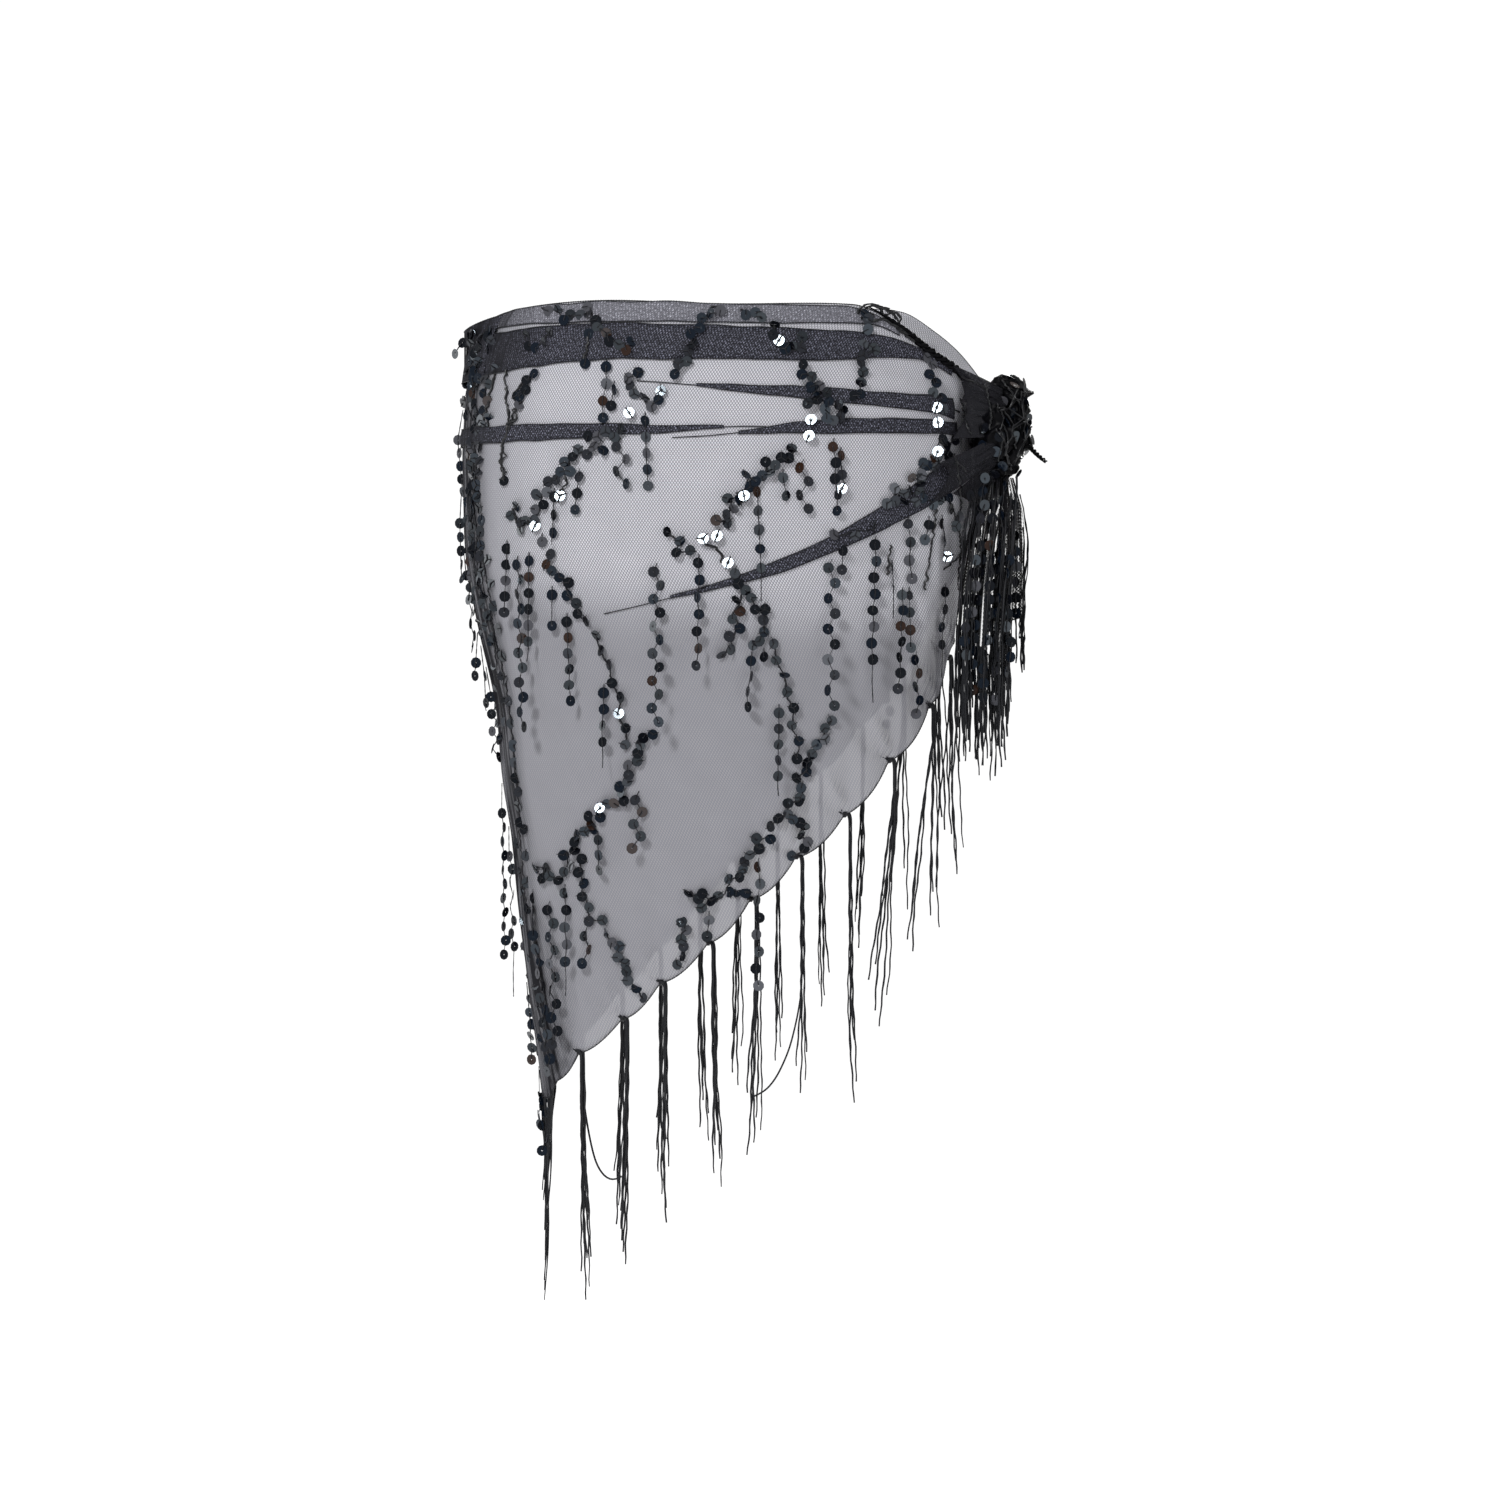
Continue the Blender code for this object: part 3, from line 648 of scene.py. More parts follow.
def net_wrap():
    """The worn net, one sheet from the free edge at the knot round the tip and back under the knot."""
    count = int((BACK_END - END_ANGLE) / SHEET_COLUMN_DEGREES)
    angles = np.linspace(END_ANGLE, BACK_END, count + 1)
    down = np.linspace(0, 1, SHEET_ROWS + 1)[:, None]
    tops, hems = top_height(angles), hem_height(angles)
    heights = tops + (hems - tops) * down
    turned = np.broadcast_to(angles, heights.shape)
    lobes = HEM_FLARE * hem_lobe(angles) * down**6
    points = hip_point(turned, heights, lobes)
    uvs = np.stack([arc(turned, heights), heights], -1)
    wrap = shell("net_wrap", points, uvs, NET_THICKNESS, NET)
    mark_gathers(wrap, NET_KNOT_REACH)
    dress(wrap, "mesh_cloth", "back_stretch", "front_stretch")
    edges = [stitched(points[0]), stitched(points[-1]), stitched(points[:, 0]), stitched(points[:, -1])]
    dress(threads("net_edges", edges, 0.5 * MM, EDGE_THREAD), "fringe_yarn")


# Folded bands: angle, the middle line's height and the width there.
TOP_EDGE_FOLD = [
    (-150, 0.0015, 0.006), (-120, 0.0215, 0.016), (-60, 0.0195, 0.013), (-15, 0.0110, 0.007),
    (12, 0.0105, 0.006), (30, 0.0145, 0.011), (60, 0.0150, 0.013), (100, 0.0125, 0.012),
    (120, 0.0130, 0.011), (127, 0.0105, 0.008), (133, 0.0030, 0.005),
]
TOP_BAND = [
    (-176, -0.0440, 0.010), (-165, -0.0330, 0.014), (-140, -0.0060, 0.018), (-90, 0.0010, 0.020),
    (-40, -0.0020, 0.022), (0, -0.0098, 0.0265), (30, -0.0078, 0.0268), (60, -0.0048, 0.0240),
    (90, -0.0062, 0.0215), (115, -0.0072, 0.0190), (128, -0.0076, 0.0140), (134, -0.0088, 0.0105),
    (141, -0.0122, 0.0065), (149, -0.0208, 0.0050),
]
HIP_BAND = [
    (-120, -0.0610, 0.002), (-80, -0.0600, 0.009), (-40, -0.0600, 0.011), (0, -0.0605, 0.0115),
    (30, -0.0615, 0.0105), (55, -0.0620, 0.0095), (75, -0.0615, 0.0050), (90, -0.0605, 0.0014),
]
UPPER_TUCK = [
    (84, -0.0335, 0.0012), (100, -0.0370, 0.0060), (115, -0.0395, 0.0085), (128, -0.0415, 0.0090),
    (140, -0.0430, 0.0105), (149, -0.0450, 0.0130),
]
LOWER_TUCK = [
    (93, -0.0640, 0.0015), (105, -0.0610, 0.0065), (118, -0.0588, 0.0092), (132, -0.0578, 0.0090),
    (145, -0.0578, 0.0080), (150, -0.0580, 0.0080),
]
DIAGONAL_TUCK = [
    (78, -0.1690, 0.0015), (90, -0.1600, 0.0045), (103, -0.1480, 0.0085), (117, -0.1300, 0.0120),
    (130, -0.1115, 0.0175), (141, -0.0965, 0.0205), (149, -0.0850, 0.0220),
]
FRONT_DIAGONAL_TUCK = [
    (-170, -0.0800, 0.0130), (-150, -0.1020, 0.0140), (-130, -0.1230, 0.0120), (-110, -0.1420, 0.0075),
    (-92, -0.1560, 0.002),
]
BANDS = {
    "top_edge_fold": (TOP_EDGE_FOLD, HEM_FOLD),
    "top_band": (TOP_BAND, FOLDED),
    "hip_band": (HIP_BAND, FOLDED),
    "upper_tuck": (UPPER_TUCK, FOLDED),
    "lower_tuck": (LOWER_TUCK, FOLDED),
    "diagonal_tuck": (DIAGONAL_TUCK, FOLDED),
    "front_diagonal_tuck": (FRONT_DIAGONAL_TUCK, FOLDED),
}
# Where a fold runs out, its stitched edge goes on over the net: angle and height.
EDGE_LINES = [
    [(89, -0.0605), (96, -0.0600), (106, -0.0607), (113, -0.0590)],
    [(79, -0.0672), (86, -0.0662), (94, -0.0638)],
    [(71, -0.0305), (77, -0.0318), (85, -0.0338), (97, -0.0338)],
    [(62, -0.1790), (70, -0.1745), (79, -0.1685)],
    [(-138, -0.0590), (-130, -0.0600), (-119, -0.0610)],
]
BAND_LIFT = 1.1 * MM
BAND_COLUMN_DEGREES = 1.25
BAND_ROWS = 6
BAND_BULGE = 0.5 * MM
BAND_WANDER = 0.9 * MM
# The fold's own net is off the net below it by a stretch and a shift.
BAND_NET_STRETCH = 1.03
BAND_NET_SHIFT = 0.004
EDGE_LIFT = 1.0 * MM
EDGE_RADIUS = 0.42 * MM
EDGE_LINE_POINTS = 20
# How far round from the corner each band is darkened, in degrees.
BAND_FOLD_TURNS = {"top_band": 50, "top_edge_fold": 42, "hip_band": 36}


def uneven(name, at):
    """A small steady wander, for edges that aren't ruled."""
    return BAND_WANDER * noise.noise(Vector((at * 0.11, len(name) * 3.7, 0)))


def band(name, rows, material, edges):
    """A fold lying on the net, a little proud along its middle, with its two edges kept for the stitching."""
    count = int((rows[-1][0] - rows[0][0]) / BAND_COLUMN_DEGREES)
    angles = np.linspace(rows[0][0], rows[-1][0], count + 1)
    middles = np.array([through(rows, a) + uneven(name, a) for a in angles])
    widths = np.array([through(rows, a, 2) + uneven(name + "width", 1.7 * a) for a in angles])
    down = np.linspace(0, 1, BAND_ROWS + 1)[:, None]
    heights = middles + widths * (0.5 - down)
    turned = np.broadcast_to(angles, heights.shape)
    lifts = BAND_LIFT + BAND_BULGE * np.sin(np.pi * down)
    points = hip_point(turned, heights, lifts)
    uvs = np.stack([arc(turned, heights) * BAND_NET_STRETCH, heights + BAND_NET_SHIFT], -1)
    made = dress(shell(f"{name}_cloth", points, uvs, BAND_THICKNESS, material), "folded_cloth", name)
    mark_gathers(made, BAND_KNOT_REACH, BAND_FOLD_SHARE, BAND_FOLD_TURNS.get(name, FOLD_TURN))
    edges.extend([stitched(points[0]), stitched(points[-1])])


def bands():
    edges = []
    for name, (rows, material) in BANDS.items():
        band(name, rows, material, edges)
    for line in EDGE_LINES:
        angles = np.linspace(line[0][0], line[-1][0], EDGE_LINE_POINTS)
        heights = np.array([through(line, a) for a in angles])
        edges.append(stitched(hip_point(angles, heights, EDGE_LIFT)))
    dress(threads("band_edges", edges, EDGE_RADIUS, EDGE_THREAD), "fringe_yarn")


CORNER_TURN = 24
CORNER_LOW = -0.0245
CORNER_REACH = 0.1702
CORNER_INSET = 1.5 * MM
CORNER_LIFT = 1.9 * MM
CORNER_COLUMNS = 40
CORNER_ROWS = 24


def corner_fold():
    """The top corner over the hanging point, where the net is folded over itself and stands off the hip."""
    angles = np.linspace(-CORNER_TURN, CORNER_TURN, CORNER_COLUMNS + 1)
    down = np.linspace(0, 1, CORNER_ROWS + 1)[:, None]
    tops = top_height(angles) - CORNER_INSET
    heights = tops + (CORNER_LOW - tops) * down
    turned = np.broadcast_to(angles, heights.shape)
    stand = np.maximum(CORNER_REACH - half_width(heights), CORNER_INSET)
    lifts = CORNER_LIFT + stand * np.cos(np.pi / 2 * turned / CORNER_TURN) ** 2
    points = hip_point(turned, heights, lifts)
    uvs = np.stack([arc(turned, heights), heights], -1)
    corner = dress(shell("corner_fold", points, uvs, BAND_THICKNESS, FOLDED), "folded_cloth")
    mark_gathers(corner, BAND_KNOT_REACH)
    edges = [stitched(points[0]), stitched(points[-1])]
    dress(threads("corner_edges", edges, EDGE_RADIUS, EDGE_THREAD), "fringe_yarn")


FLOOR_HEIGHT = -0.95
FLOOR_GLOW = 0.85
WORLD_LIGHT = 0.30
WORLD_SEEN = 1.05
KEY_PLACE = Vector((-1.1, -2.2, 1.3))
LIGHTS_AIM = Vector((0, 0, -0.25))
# Each soft light: its name, place, size and power.
SOFT_LIGHTS = [
    ("key", KEY_PLACE, 0.42, 70),
    ("fill", Vector((1.9, -1.7, 0.2)), 1.2, 10),
    ("behind", Vector((0.4, 2.4, 0.8)), 1.2, 40),
    ("above", Vector((0.0, 0.0, 2.0)), 1.2, 16),
    ("side", Vector((-2.4, 0.6, 0.3)), 1.0, 10),
]


def studio():
    """Plain pale floor, white surroundings and soft lights."""
    bpy.ops.mesh.primitive_circle_add(vertices=64, radius=6, fill_type="NGON", location=(0, 0, FLOOR_HEIGHT))
    floor = bpy.context.object
    floor.name = "floor"
    pale, _, glow = shader_material("pale_floor", (0.7, 0.7, 0.7), 0.9, 0.1)
    glow.inputs["Emission Color"].default_value = (1, 1, 1, 1)
    glow.inputs["Emission Strength"].default_value = FLOOR_GLOW
    floor.data.materials.append(pale)

    world = bpy.data.worlds.new("studio")
    bpy.context.scene.world = world
    world.use_nodes = True
    tree = world.node_tree
    around = tree.nodes["Background"]
    around.inputs["Strength"].default_value = WORLD_LIGHT
    seen = add_node(tree, "ShaderNodeBackground")
    seen.inputs["Strength"].default_value = WORLD_SEEN
    for node in (around, seen):
        node.inputs["Color"].default_value = (1, 1, 1, 1)
    path = add_node(tree, "ShaderNodeLightPath")
    choose = add_node(tree, "ShaderNodeMixShader")
    tree.links.new(path.outputs["Is Camera Ray"], choose.inputs[0])
    tree.links.new(around.outputs[0], choose.inputs[1])
    tree.links.new(seen.outputs[0], choose.inputs[2])
    tree.links.new(choose.outputs[0], tree.nodes["World Output"].inputs["Surface"])

    for name, place, size, power in SOFT_LIGHTS:
        light = bpy.data.lights.new(name, "AREA")
        light.size = size
        light.energy = power
        lamp = placed(name, light)
        lamp.location = place
        lamp.rotation_euler = (LIGHTS_AIM - place).to_track_quat("-Z", "Y").to_euler()
        lamp.visible_camera = False


def camera():
    data = bpy.data.cameras.new("camera")
    data.sensor_width = SENSOR
    data.lens = SENSOR * -CAMERA_PLACE.y / (PHOTO_PIXELS * PIXEL)
    data.clip_end = 100
    eye = placed("camera", data)
    eye.location = CAMERA_PLACE
    eye.rotation_euler = (math.radians(90), 0, 0)
    bpy.context.scene.camera = eye


# The rolled top edge that runs down into the knot.
ROPE_START = 126
ROPE_END = 157
ROPE_STRANDS = 3
ROPE_RADIUS = 1.5 * MM
ROPE_TWIST_MM = 17
ROPE_SWELL = 0.55
ROPE_THIN = 0.14
ROPE_GROWN_MM = 45
ROPE_POINTS = 150
ROPE_LIFT = 1.6 * MM
ROPE_STRAND_RADIUS = 2.2 * MM


def rolled_edge():
    """The top edge near the knot, rolled into a rope of net."""
    angles = np.linspace(ROPE_START, ROPE_END, ROPE_POINTS)
    middle = hip_point(angles, top_height(angles) + 0.5 * MM, ROPE_LIFT)
    along = walked(middle) / MM
    runs = []
    for strand in range(ROPE_STRANDS):
        turn = 2 * np.pi * (along / ROPE_TWIST_MM + strand / ROPE_STRANDS)
        grown = np.clip(along / ROPE_GROWN_MM, 0.06, 1) * ROPE_RADIUS
        across = np.array([outward(a, -0.02) for a in angles])
        offset = across * (np.cos(turn) * grown)[:, None]
        offset[:, 2] += np.sin(turn) * grown
        swell = []
        for mm in along:
            bulge = 1 + 0.3 * math.sin(1.1 * mm + strand)
            swell.append(ROPE_THIN + ROPE_SWELL * min(1, mm / ROPE_GROWN_MM) * bulge)
        runs.append((middle + offset, swell))
    dress(threads("rolled_edge", runs, ROPE_STRAND_RADIUS, KNOT_NET, sides=2), "knot_cloth")


# The knot's lumps, as in the solids: along the hip, out of it and up, then the half sizes the same way.
KNOT_LUMPS = {
    "crown": ((0.006, 0.002, 0.021), (0.0125, 0.0150, 0.0130), 7, 60),
    "left_lump": ((-0.0125, 0.001, -0.004), (0.0105, 0.0140, 0.0170), 6, 100),
    "right_lump": ((0.0125, 0.000, -0.006), (0.0100, 0.0150, 0.0160), 6, 80),
    "neck_lump": ((0.000, -0.001, -0.0215), (0.0120, 0.0135, 0.0110), 8, 90),
}
KNOT_RING_RADIUS = 0.0175
KNOT_RING_THICKNESS = 0.0062
KNOT_RING_DEPTH_SCALE = 0.80
KNOT_RING_HEIGHT_SCALE = 1.38
KNOT_RING_LEAN = 14
KNOT_FOLD_DEPTH = 0.17
KNOT_VOXEL = 0.75 * MM
# Size and depth of the knot's dents and of its sharp creases, and where in the noise they lie.
KNOT_DENTS = (12 * MM, 2.4 * MM, 4)
KNOT_CREASES = (11 * MM, 2.6 * MM, 9)
LOOSE_END = [
    (0.0080, 0.0120, -0.0110), (0.0105, 0.0165, -0.0135), (0.0120, 0.0200, -0.0175),
    (0.0125, 0.0235, -0.0205), (0.0130, 0.0262, -0.0225),
]
LOOSE_STRANDS = 3
LOOSE_COIL = 0.9 * MM
LOOSE_TWIST = 2.4
LOOSE_TAPER = 0.45

KNOT_OUT = outward(KNOT_ANGLE, KNOT_HEIGHT)
KNOT_ALONG = Vector((-KNOT_OUT.y, KNOT_OUT.x, 0))
KNOT_CENTRE = Vector(hip_point(KNOT_ANGLE, KNOT_HEIGHT, KNOT_STAND))


def knot_place(x, y, z):
    """A place in the knot's own directions: along the hip, out of it and up."""
    return KNOT_CENTRE + KNOT_ALONG * x + KNOT_OUT * y + Vector((0, 0, z))


def folded_lump(name, place, size, folds, lean):
    """A lump whose folds run from pole to pole, leant so that they aim at the wrapping loop."""
    deselect()
    bpy.ops.mesh.primitive_uv_sphere_add(segments=96, ring_count=48, radius=1)
    lump = bpy.context.object
    lump.name = name
    tilt = Matrix.Rotation(math.radians(lean), 3, "Y") @ Matrix.Rotation(math.radians(25), 3, "X")
    for v in lump.data.vertices:
        turn = math.atan2(v.co.y, v.co.x)
        wander = 0.7 * noise.noise(v.co * 1.7 + Vector((folds, lean, 0)))
        ridge = abs(math.sin(folds * (turn + wander) / 2)) ** 0.6
        deep = 1 + KNOT_FOLD_DEPTH * (ridge - 0.75) * math.sqrt(max(0, 1 - v.co.z**2))
        turned = tilt @ (v.co * deep)
        v.co = knot_place(*[turned[i] * size[i] + place[i] for i in range(3)])
    return lump


def wrapping_loop():
    """The loop of cloth round the knot's middle, with its folds running along it."""
    deselect()
    bpy.ops.mesh.primitive_torus_add(
        major_segments=120, minor_segments=48, major_radius=KNOT_RING_RADIUS, minor_radius=KNOT_RING_THICKNESS
    )
    loop = bpy.context.object
    loop.name = "knot_bunch"
    lean = math.radians(KNOT_RING_LEAN)
    for v in loop.data.vertices:
        turn = math.atan2(v.co.y, v.co.x)
        middle = Vector((math.cos(turn), math.sin(turn), 0)) * KNOT_RING_RADIUS
        spoke = v.co - middle
        round_it = math.atan2(spoke.z, spoke.length_squared and (v.co.xy.length - KNOT_RING_RADIUS))
        wander = 0.5 * math.sin(2 * turn + 1) + 0.3 * math.sin(5 * turn)
        fold = abs(math.sin(2.5 * round_it + wander)) ** 0.7
        v.co = middle + spoke * (0.80 + 0.34 * fold)
    for v in loop.data.vertices:
        level, deep, high = v.co.z, v.co.x * KNOT_RING_DEPTH_SCALE, v.co.y * KNOT_RING_HEIGHT_SCALE
        x = level * math.cos(lean) + high * math.sin(lean)
        z = high * math.cos(lean) - level * math.sin(lean)
        v.co = knot_place(x, deep, z)
    return loop


def join(first, others):
    deselect()
    for other in others:
        other.select_set(True)
    first.select_set(True)
    bpy.context.view_layer.objects.active = first
    bpy.ops.object.join()
    return first


def crumple(obj, size, depth, seed):
    """Small dents and swells along each point's normal."""
    shift = Vector((seed, 2 * seed, 3 * seed))
    moves = [v.normal * depth * noise.fractal(v.co / size + shift, 1.0, 2.0, 3) for v in obj.data.vertices]
    for v, move in zip(obj.data.vertices, moves):
        v.co += move


def ridges(obj, size, depth, seed):
    """Sharp creases, as cloth has where it is pulled tight."""
    shift = Vector((seed, 3 * seed, 2 * seed))
    moves = []
    for v in obj.data.vertices:
        crest = 1 - abs(noise.noise(v.co / size + shift)) * 2.4
        moves.append(v.normal * depth * (max(0, crest) ** 2 - 0.45))
    for v, move in zip(obj.data.vertices, moves):
        v.co += move


def knot():
    """The ends of the scarf passed through each other, drawn tight."""
    lumps = [folded_lump(name, *values) for name, values in KNOT_LUMPS.items()]
    bunch = join(wrapping_loop(), lumps)
    bunch.data.remesh_voxel_size = KNOT_VOXEL
    bpy.ops.object.voxel_remesh()
    apply_modifier(bunch, "SMOOTH", factor=0.5, iterations=2)
    crumple(bunch, *KNOT_DENTS)
    ridges(bunch, *KNOT_CREASES)
    bunch.data.materials.clear()
    bunch.data.materials.append(KNOT_NET)
    smooth(bunch)
    dress(bunch, "knot_cloth", "knot")

    middle = spaced([knot_place(*p) for p in LOOSE_END], 0.5 * MM)
    runs = []
    for strand in range(LOOSE_STRANDS):
        coil, sizes = [], []
        for k, point in enumerate(middle):
            turn = LOOSE_TWIST * k * 0.16 + strand * 2.1
            coil.append(point + np.array([LOOSE_COIL * math.cos(turn), 0, LOOSE_COIL * math.sin(turn)]))
            sizes.append(1 - LOOSE_TAPER * k / len(middle))
        runs.append((coil, sizes))
    dress(threads("loose_end", runs, 1.0 * MM, KNOT_NET, sides=2), "knot_cloth")


# The cloth drawn into the knot from each side. Each arm runs from a line on the hips, given as two places of
# angle and height, to a line in the knot, given as two places in its own directions. Then its pleats, their
# depth in mm, and how far it bows outwards on the way.
ARMS = {
    "knot_fan_over": (
        ((152.0, -0.027), (146.5, -0.065)),
        ((-0.006, 0.006, 0.014), (-0.010, 0.008, -0.007)),
        (5, 2.6, 4),
    ),
    "knot_fan_lower": (
        ((141.5, -0.081), (139.5, -0.108)),
        ((-0.008, 0.010, -0.003), (-0.005, 0.007, -0.015)),
        (3, 1.5, 6),
    ),
    "knot_fan_web": (
        ((147.0, -0.100), (156.0, -0.132)),
        ((-0.008, 0.008, -0.010), (0.002, 0.006, -0.021)),
        (4, 2.2, 2),
    ),
    "knot_arm_top": (
        ((148.5, -0.017), (151.5, -0.040)),
        ((-0.006, 0.004, 0.024), (-0.009, 0.003, 0.008)),
        (3, 2.0, 4),
    ),
    "knot_arm_far": (
        ((185.5, -0.037), (190.5, -0.0875)),
        ((0.010, 0.000, 0.016), (0.010, 0.002, -0.014)),
        (6, 2.2, 3),
    ),
    "knot_arm_far_low": (
        ((180.0, -0.084), (172.0, -0.124)),
        ((0.009, 0.004, -0.010), (0.004, 0.003, -0.020)),
        (3, 1.6, 2),
    ),
}
ARM_DENSE_REACH = 0.042
# How far the worn edge of an arm curves in between its two corners, as a share of its length.
ARM_NOTCH = 0.30
ARM_COLUMNS = 54
ARM_ROWS = 30
ARM_LIFT = 2.8 * MM
ARM_CLOTH = 0.5 * MM


def knot_arms():
    """Layers of cloth drawn into pleats where both ends of the scarf come together at the knot."""
    across = np.linspace(0, 1, ARM_COLUMNS + 1)[None, :, None]
    down = np.linspace(0, 1, ARM_ROWS + 1)[:, None, None]
    for name, (worn, tied, (pleats, depth, bow)) in ARMS.items():
        low, high = [np.array(hip_point(angle, height, ARM_LIFT)) for angle, height in worn]
        near, far = [np.array(knot_place(*place)) for place in tied]
        hem = low + (high - low) * across
        neck = near + (far - near) * across
        middle = (worn[0][0] + worn[1][0]) / 2
        out = np.array(outward(middle, KNOT_HEIGHT))
        wander = 0.05 * np.sin(7 * across + bow) + 0.03 * np.sin(4 * down + 9 * across)
        fold = np.abs(np.sin(np.pi * pleats * (across + wander))) ** 0.6
        notch = ARM_NOTCH * np.sin(np.pi * across) ** 0.8
        eased = (notch + (1 - notch) * down) ** 1.35
        bowed = bow * MM * np.sin(np.pi * down) * (0.5 + 0.5 * np.sin(np.pi * across))
        deep = depth * MM * fold * np.sin(np.pi * (0.06 + 0.86 * down))
        points = hem + (neck - hem) * eased + out * (bowed + deep)
        spans = np.linalg.norm(np.diff(points, axis=0), axis=-1).sum(0).max()
        width = np.linalg.norm(np.diff(points, axis=1), axis=-1).sum(1).max()
        uvs = np.stack(np.broadcast_arrays(across[..., 0] * width, down[..., 0] * spans), -1)
        if worn[1][0] > KNOT_ANGLE:
            points, uvs = points[:, ::-1], uvs[:, ::-1]
        arm = shell(name, points, uvs, ARM_CLOTH, KNOT_WEB)
        mark_gathers(arm, ARM_DENSE_REACH, 0)
        dress(arm, "knot_cloth", *(["knot_fan"] if name == "knot_fan_over" else []))


# The two ends of the scarf that hang from the knot, as in the solids. Each row is one level of the cloth:
# across, away, height, width and pleat depth.
BACK_TAIL = [
    (0.1765, -0.0560, -0.0881, 0.0150, 0.0016),
    (0.1740, -0.0640, -0.1100, 0.0215, 0.0030),
    (0.1705, -0.0690, -0.1350, 0.0275, 0.0036),
    (0.1675, -0.0715, -0.1650, 0.0310, 0.0038),
    (0.1655, -0.0725, -0.2000, 0.0325, 0.0036),
]
FRONT_TAIL = [
    (0.1835, -0.0410, -0.0885, 0.0120, 0.0013),
    (0.1870, -0.0400, -0.1100, 0.0175, 0.0026),
    (0.1865, -0.0400, -0.1350, 0.0225, 0.0032),
    (0.1850, -0.0400, -0.1600, 0.0255, 0.0032),
    (0.1840, -0.0400, -0.1850, 0.0265, 0.0030),
]
# The rows, the way the cloth faces in degrees, its pleats, how much lower one corner hangs, the fringe's
# length, its strands and the cloth's flat width and length.
TAILS = {
    "back_tail": (BACK_TAIL, -12, 3, 0.030, 0.105, 34, (0.062, 0.135)),
    "front_tail": (FRONT_TAIL, 42, 2, -0.016, 0.100, 16, (0.044, 0.110)),
}
TAIL_COLUMNS = 72
TAIL_ROWS = 26


def tail_places(rows, turn, pleats, slant, across, down, thick=0.0):
    """Points on a hanging end. across and down run from 0 to 1."""
    level = down * (len(rows) - 1)
    x, y, z, width, pleat = [np.interp(level, range(len(rows)), [row[k] for row in rows]) for k in range(5)]
    wave = pleat * np.sin(2 * np.pi * pleats * across) + thick
    wave = wave + 0.35 * pleat * np.sin(2 * np.pi * (2 * pleats + 1) * across + 3 * down)
    turned = math.radians(turn)
    side = width * (across - 0.5)
    x = x + side * math.cos(turned) - wave * math.sin(turned)
    y = y + side * math.sin(turned) + wave * math.cos(turned)
    return np.stack([x, y, z - slant * (across - 0.5) * down], -1)


FRINGE_SPREAD = 0.12
FRINGE_SHORTEST = 0.45
FRINGE_VARIES = (0.86, 1.06)
# Extra strands over each hanging end, from the sequin work on it.
OVER_STRANDS = {"back_tail": 32, "front_tail": 13}
# How much shorter the fringe is at the end away from the hips.
OUTER_SHORTER = {"back_tail": 0.45, "front_tail": 0.70}
# An extra strand: its place across, where it starts down the cloth, how far off the cloth it lies, how much
# of the fringe's length hangs below, its thickness, its wave, and its points on the cloth and below it.
OVER_ACROSS = (0.02, 0.98)
OVER_START = (0.0, 0.65)
OVER_LIFT_MM = (1.0, 3.0)
OVER_HANG = (0.15, 1.0)
OVER_THICK = (0.5, 1.3)
OVER_WAVE = 0.4 * MM
OVER_POINTS = 16
HANG_POINTS = 14
TAIL_CLOTH = 0.5 * MM
TAIL_EDGE_RADIUS = 0.6 * MM


def edge_strands(shape, strands, fringe, shorter, draw):
    """The fringe along a hanging end's lower edge, spread out and of uneven lengths."""
    runs = []
    middle = tail_places(*shape, np.array(0.5), np.array(1.0))
    for k in range(strands):
        place = (k + 0.5) / strands
        root = tail_places(*shape, np.array(place), np.array(1.0))
        away = (root - middle) * FRINGE_SPREAD
        length = fringe * (1 - (1 - FRINGE_SHORTEST) * ((k * 5) % 7) / 7) * draw.uniform(*FRINGE_VARIES)
        length *= 1 - shorter * place
        runs.append(yarn(root, length, Vector((away[0], away[1], 0)), Vector((0, 0, 0)), draw))
    return runs


def over_strands(shape, count, fringe, shorter, draw):
    """Strands that start on a hanging end, follow its cloth down and hang below it."""
    runs = []
    for _ in range(count):
        place = draw.uniform(*OVER_ACROSS)
        start = draw.uniform(*OVER_START)
        drop = start + np.linspace(0, 1, OVER_POINTS) * (1 - start)
        lift = -draw.uniform(*OVER_LIFT_MM) * MM
        aside = 0.5 + (place - 0.5) * (1 + (1 - drop) ** 2)
        top = tail_places(*shape, aside, drop, lift)
        hang = fringe * draw.uniform(*OVER_HANG) * (1 - shorter * place)
        fall = np.linspace(0, 1, HANG_POINTS)[1:, None] * np.array([0, 0, -hang])
        run = np.concatenate([top, top[-1] + fall])
        run[:, 0] += [OVER_WAVE * math.sin(k * 0.9 + place * 40) for k in range(len(run))]
        runs.append((run, [draw.uniform(*OVER_THICK) for _ in run]))
    return runs


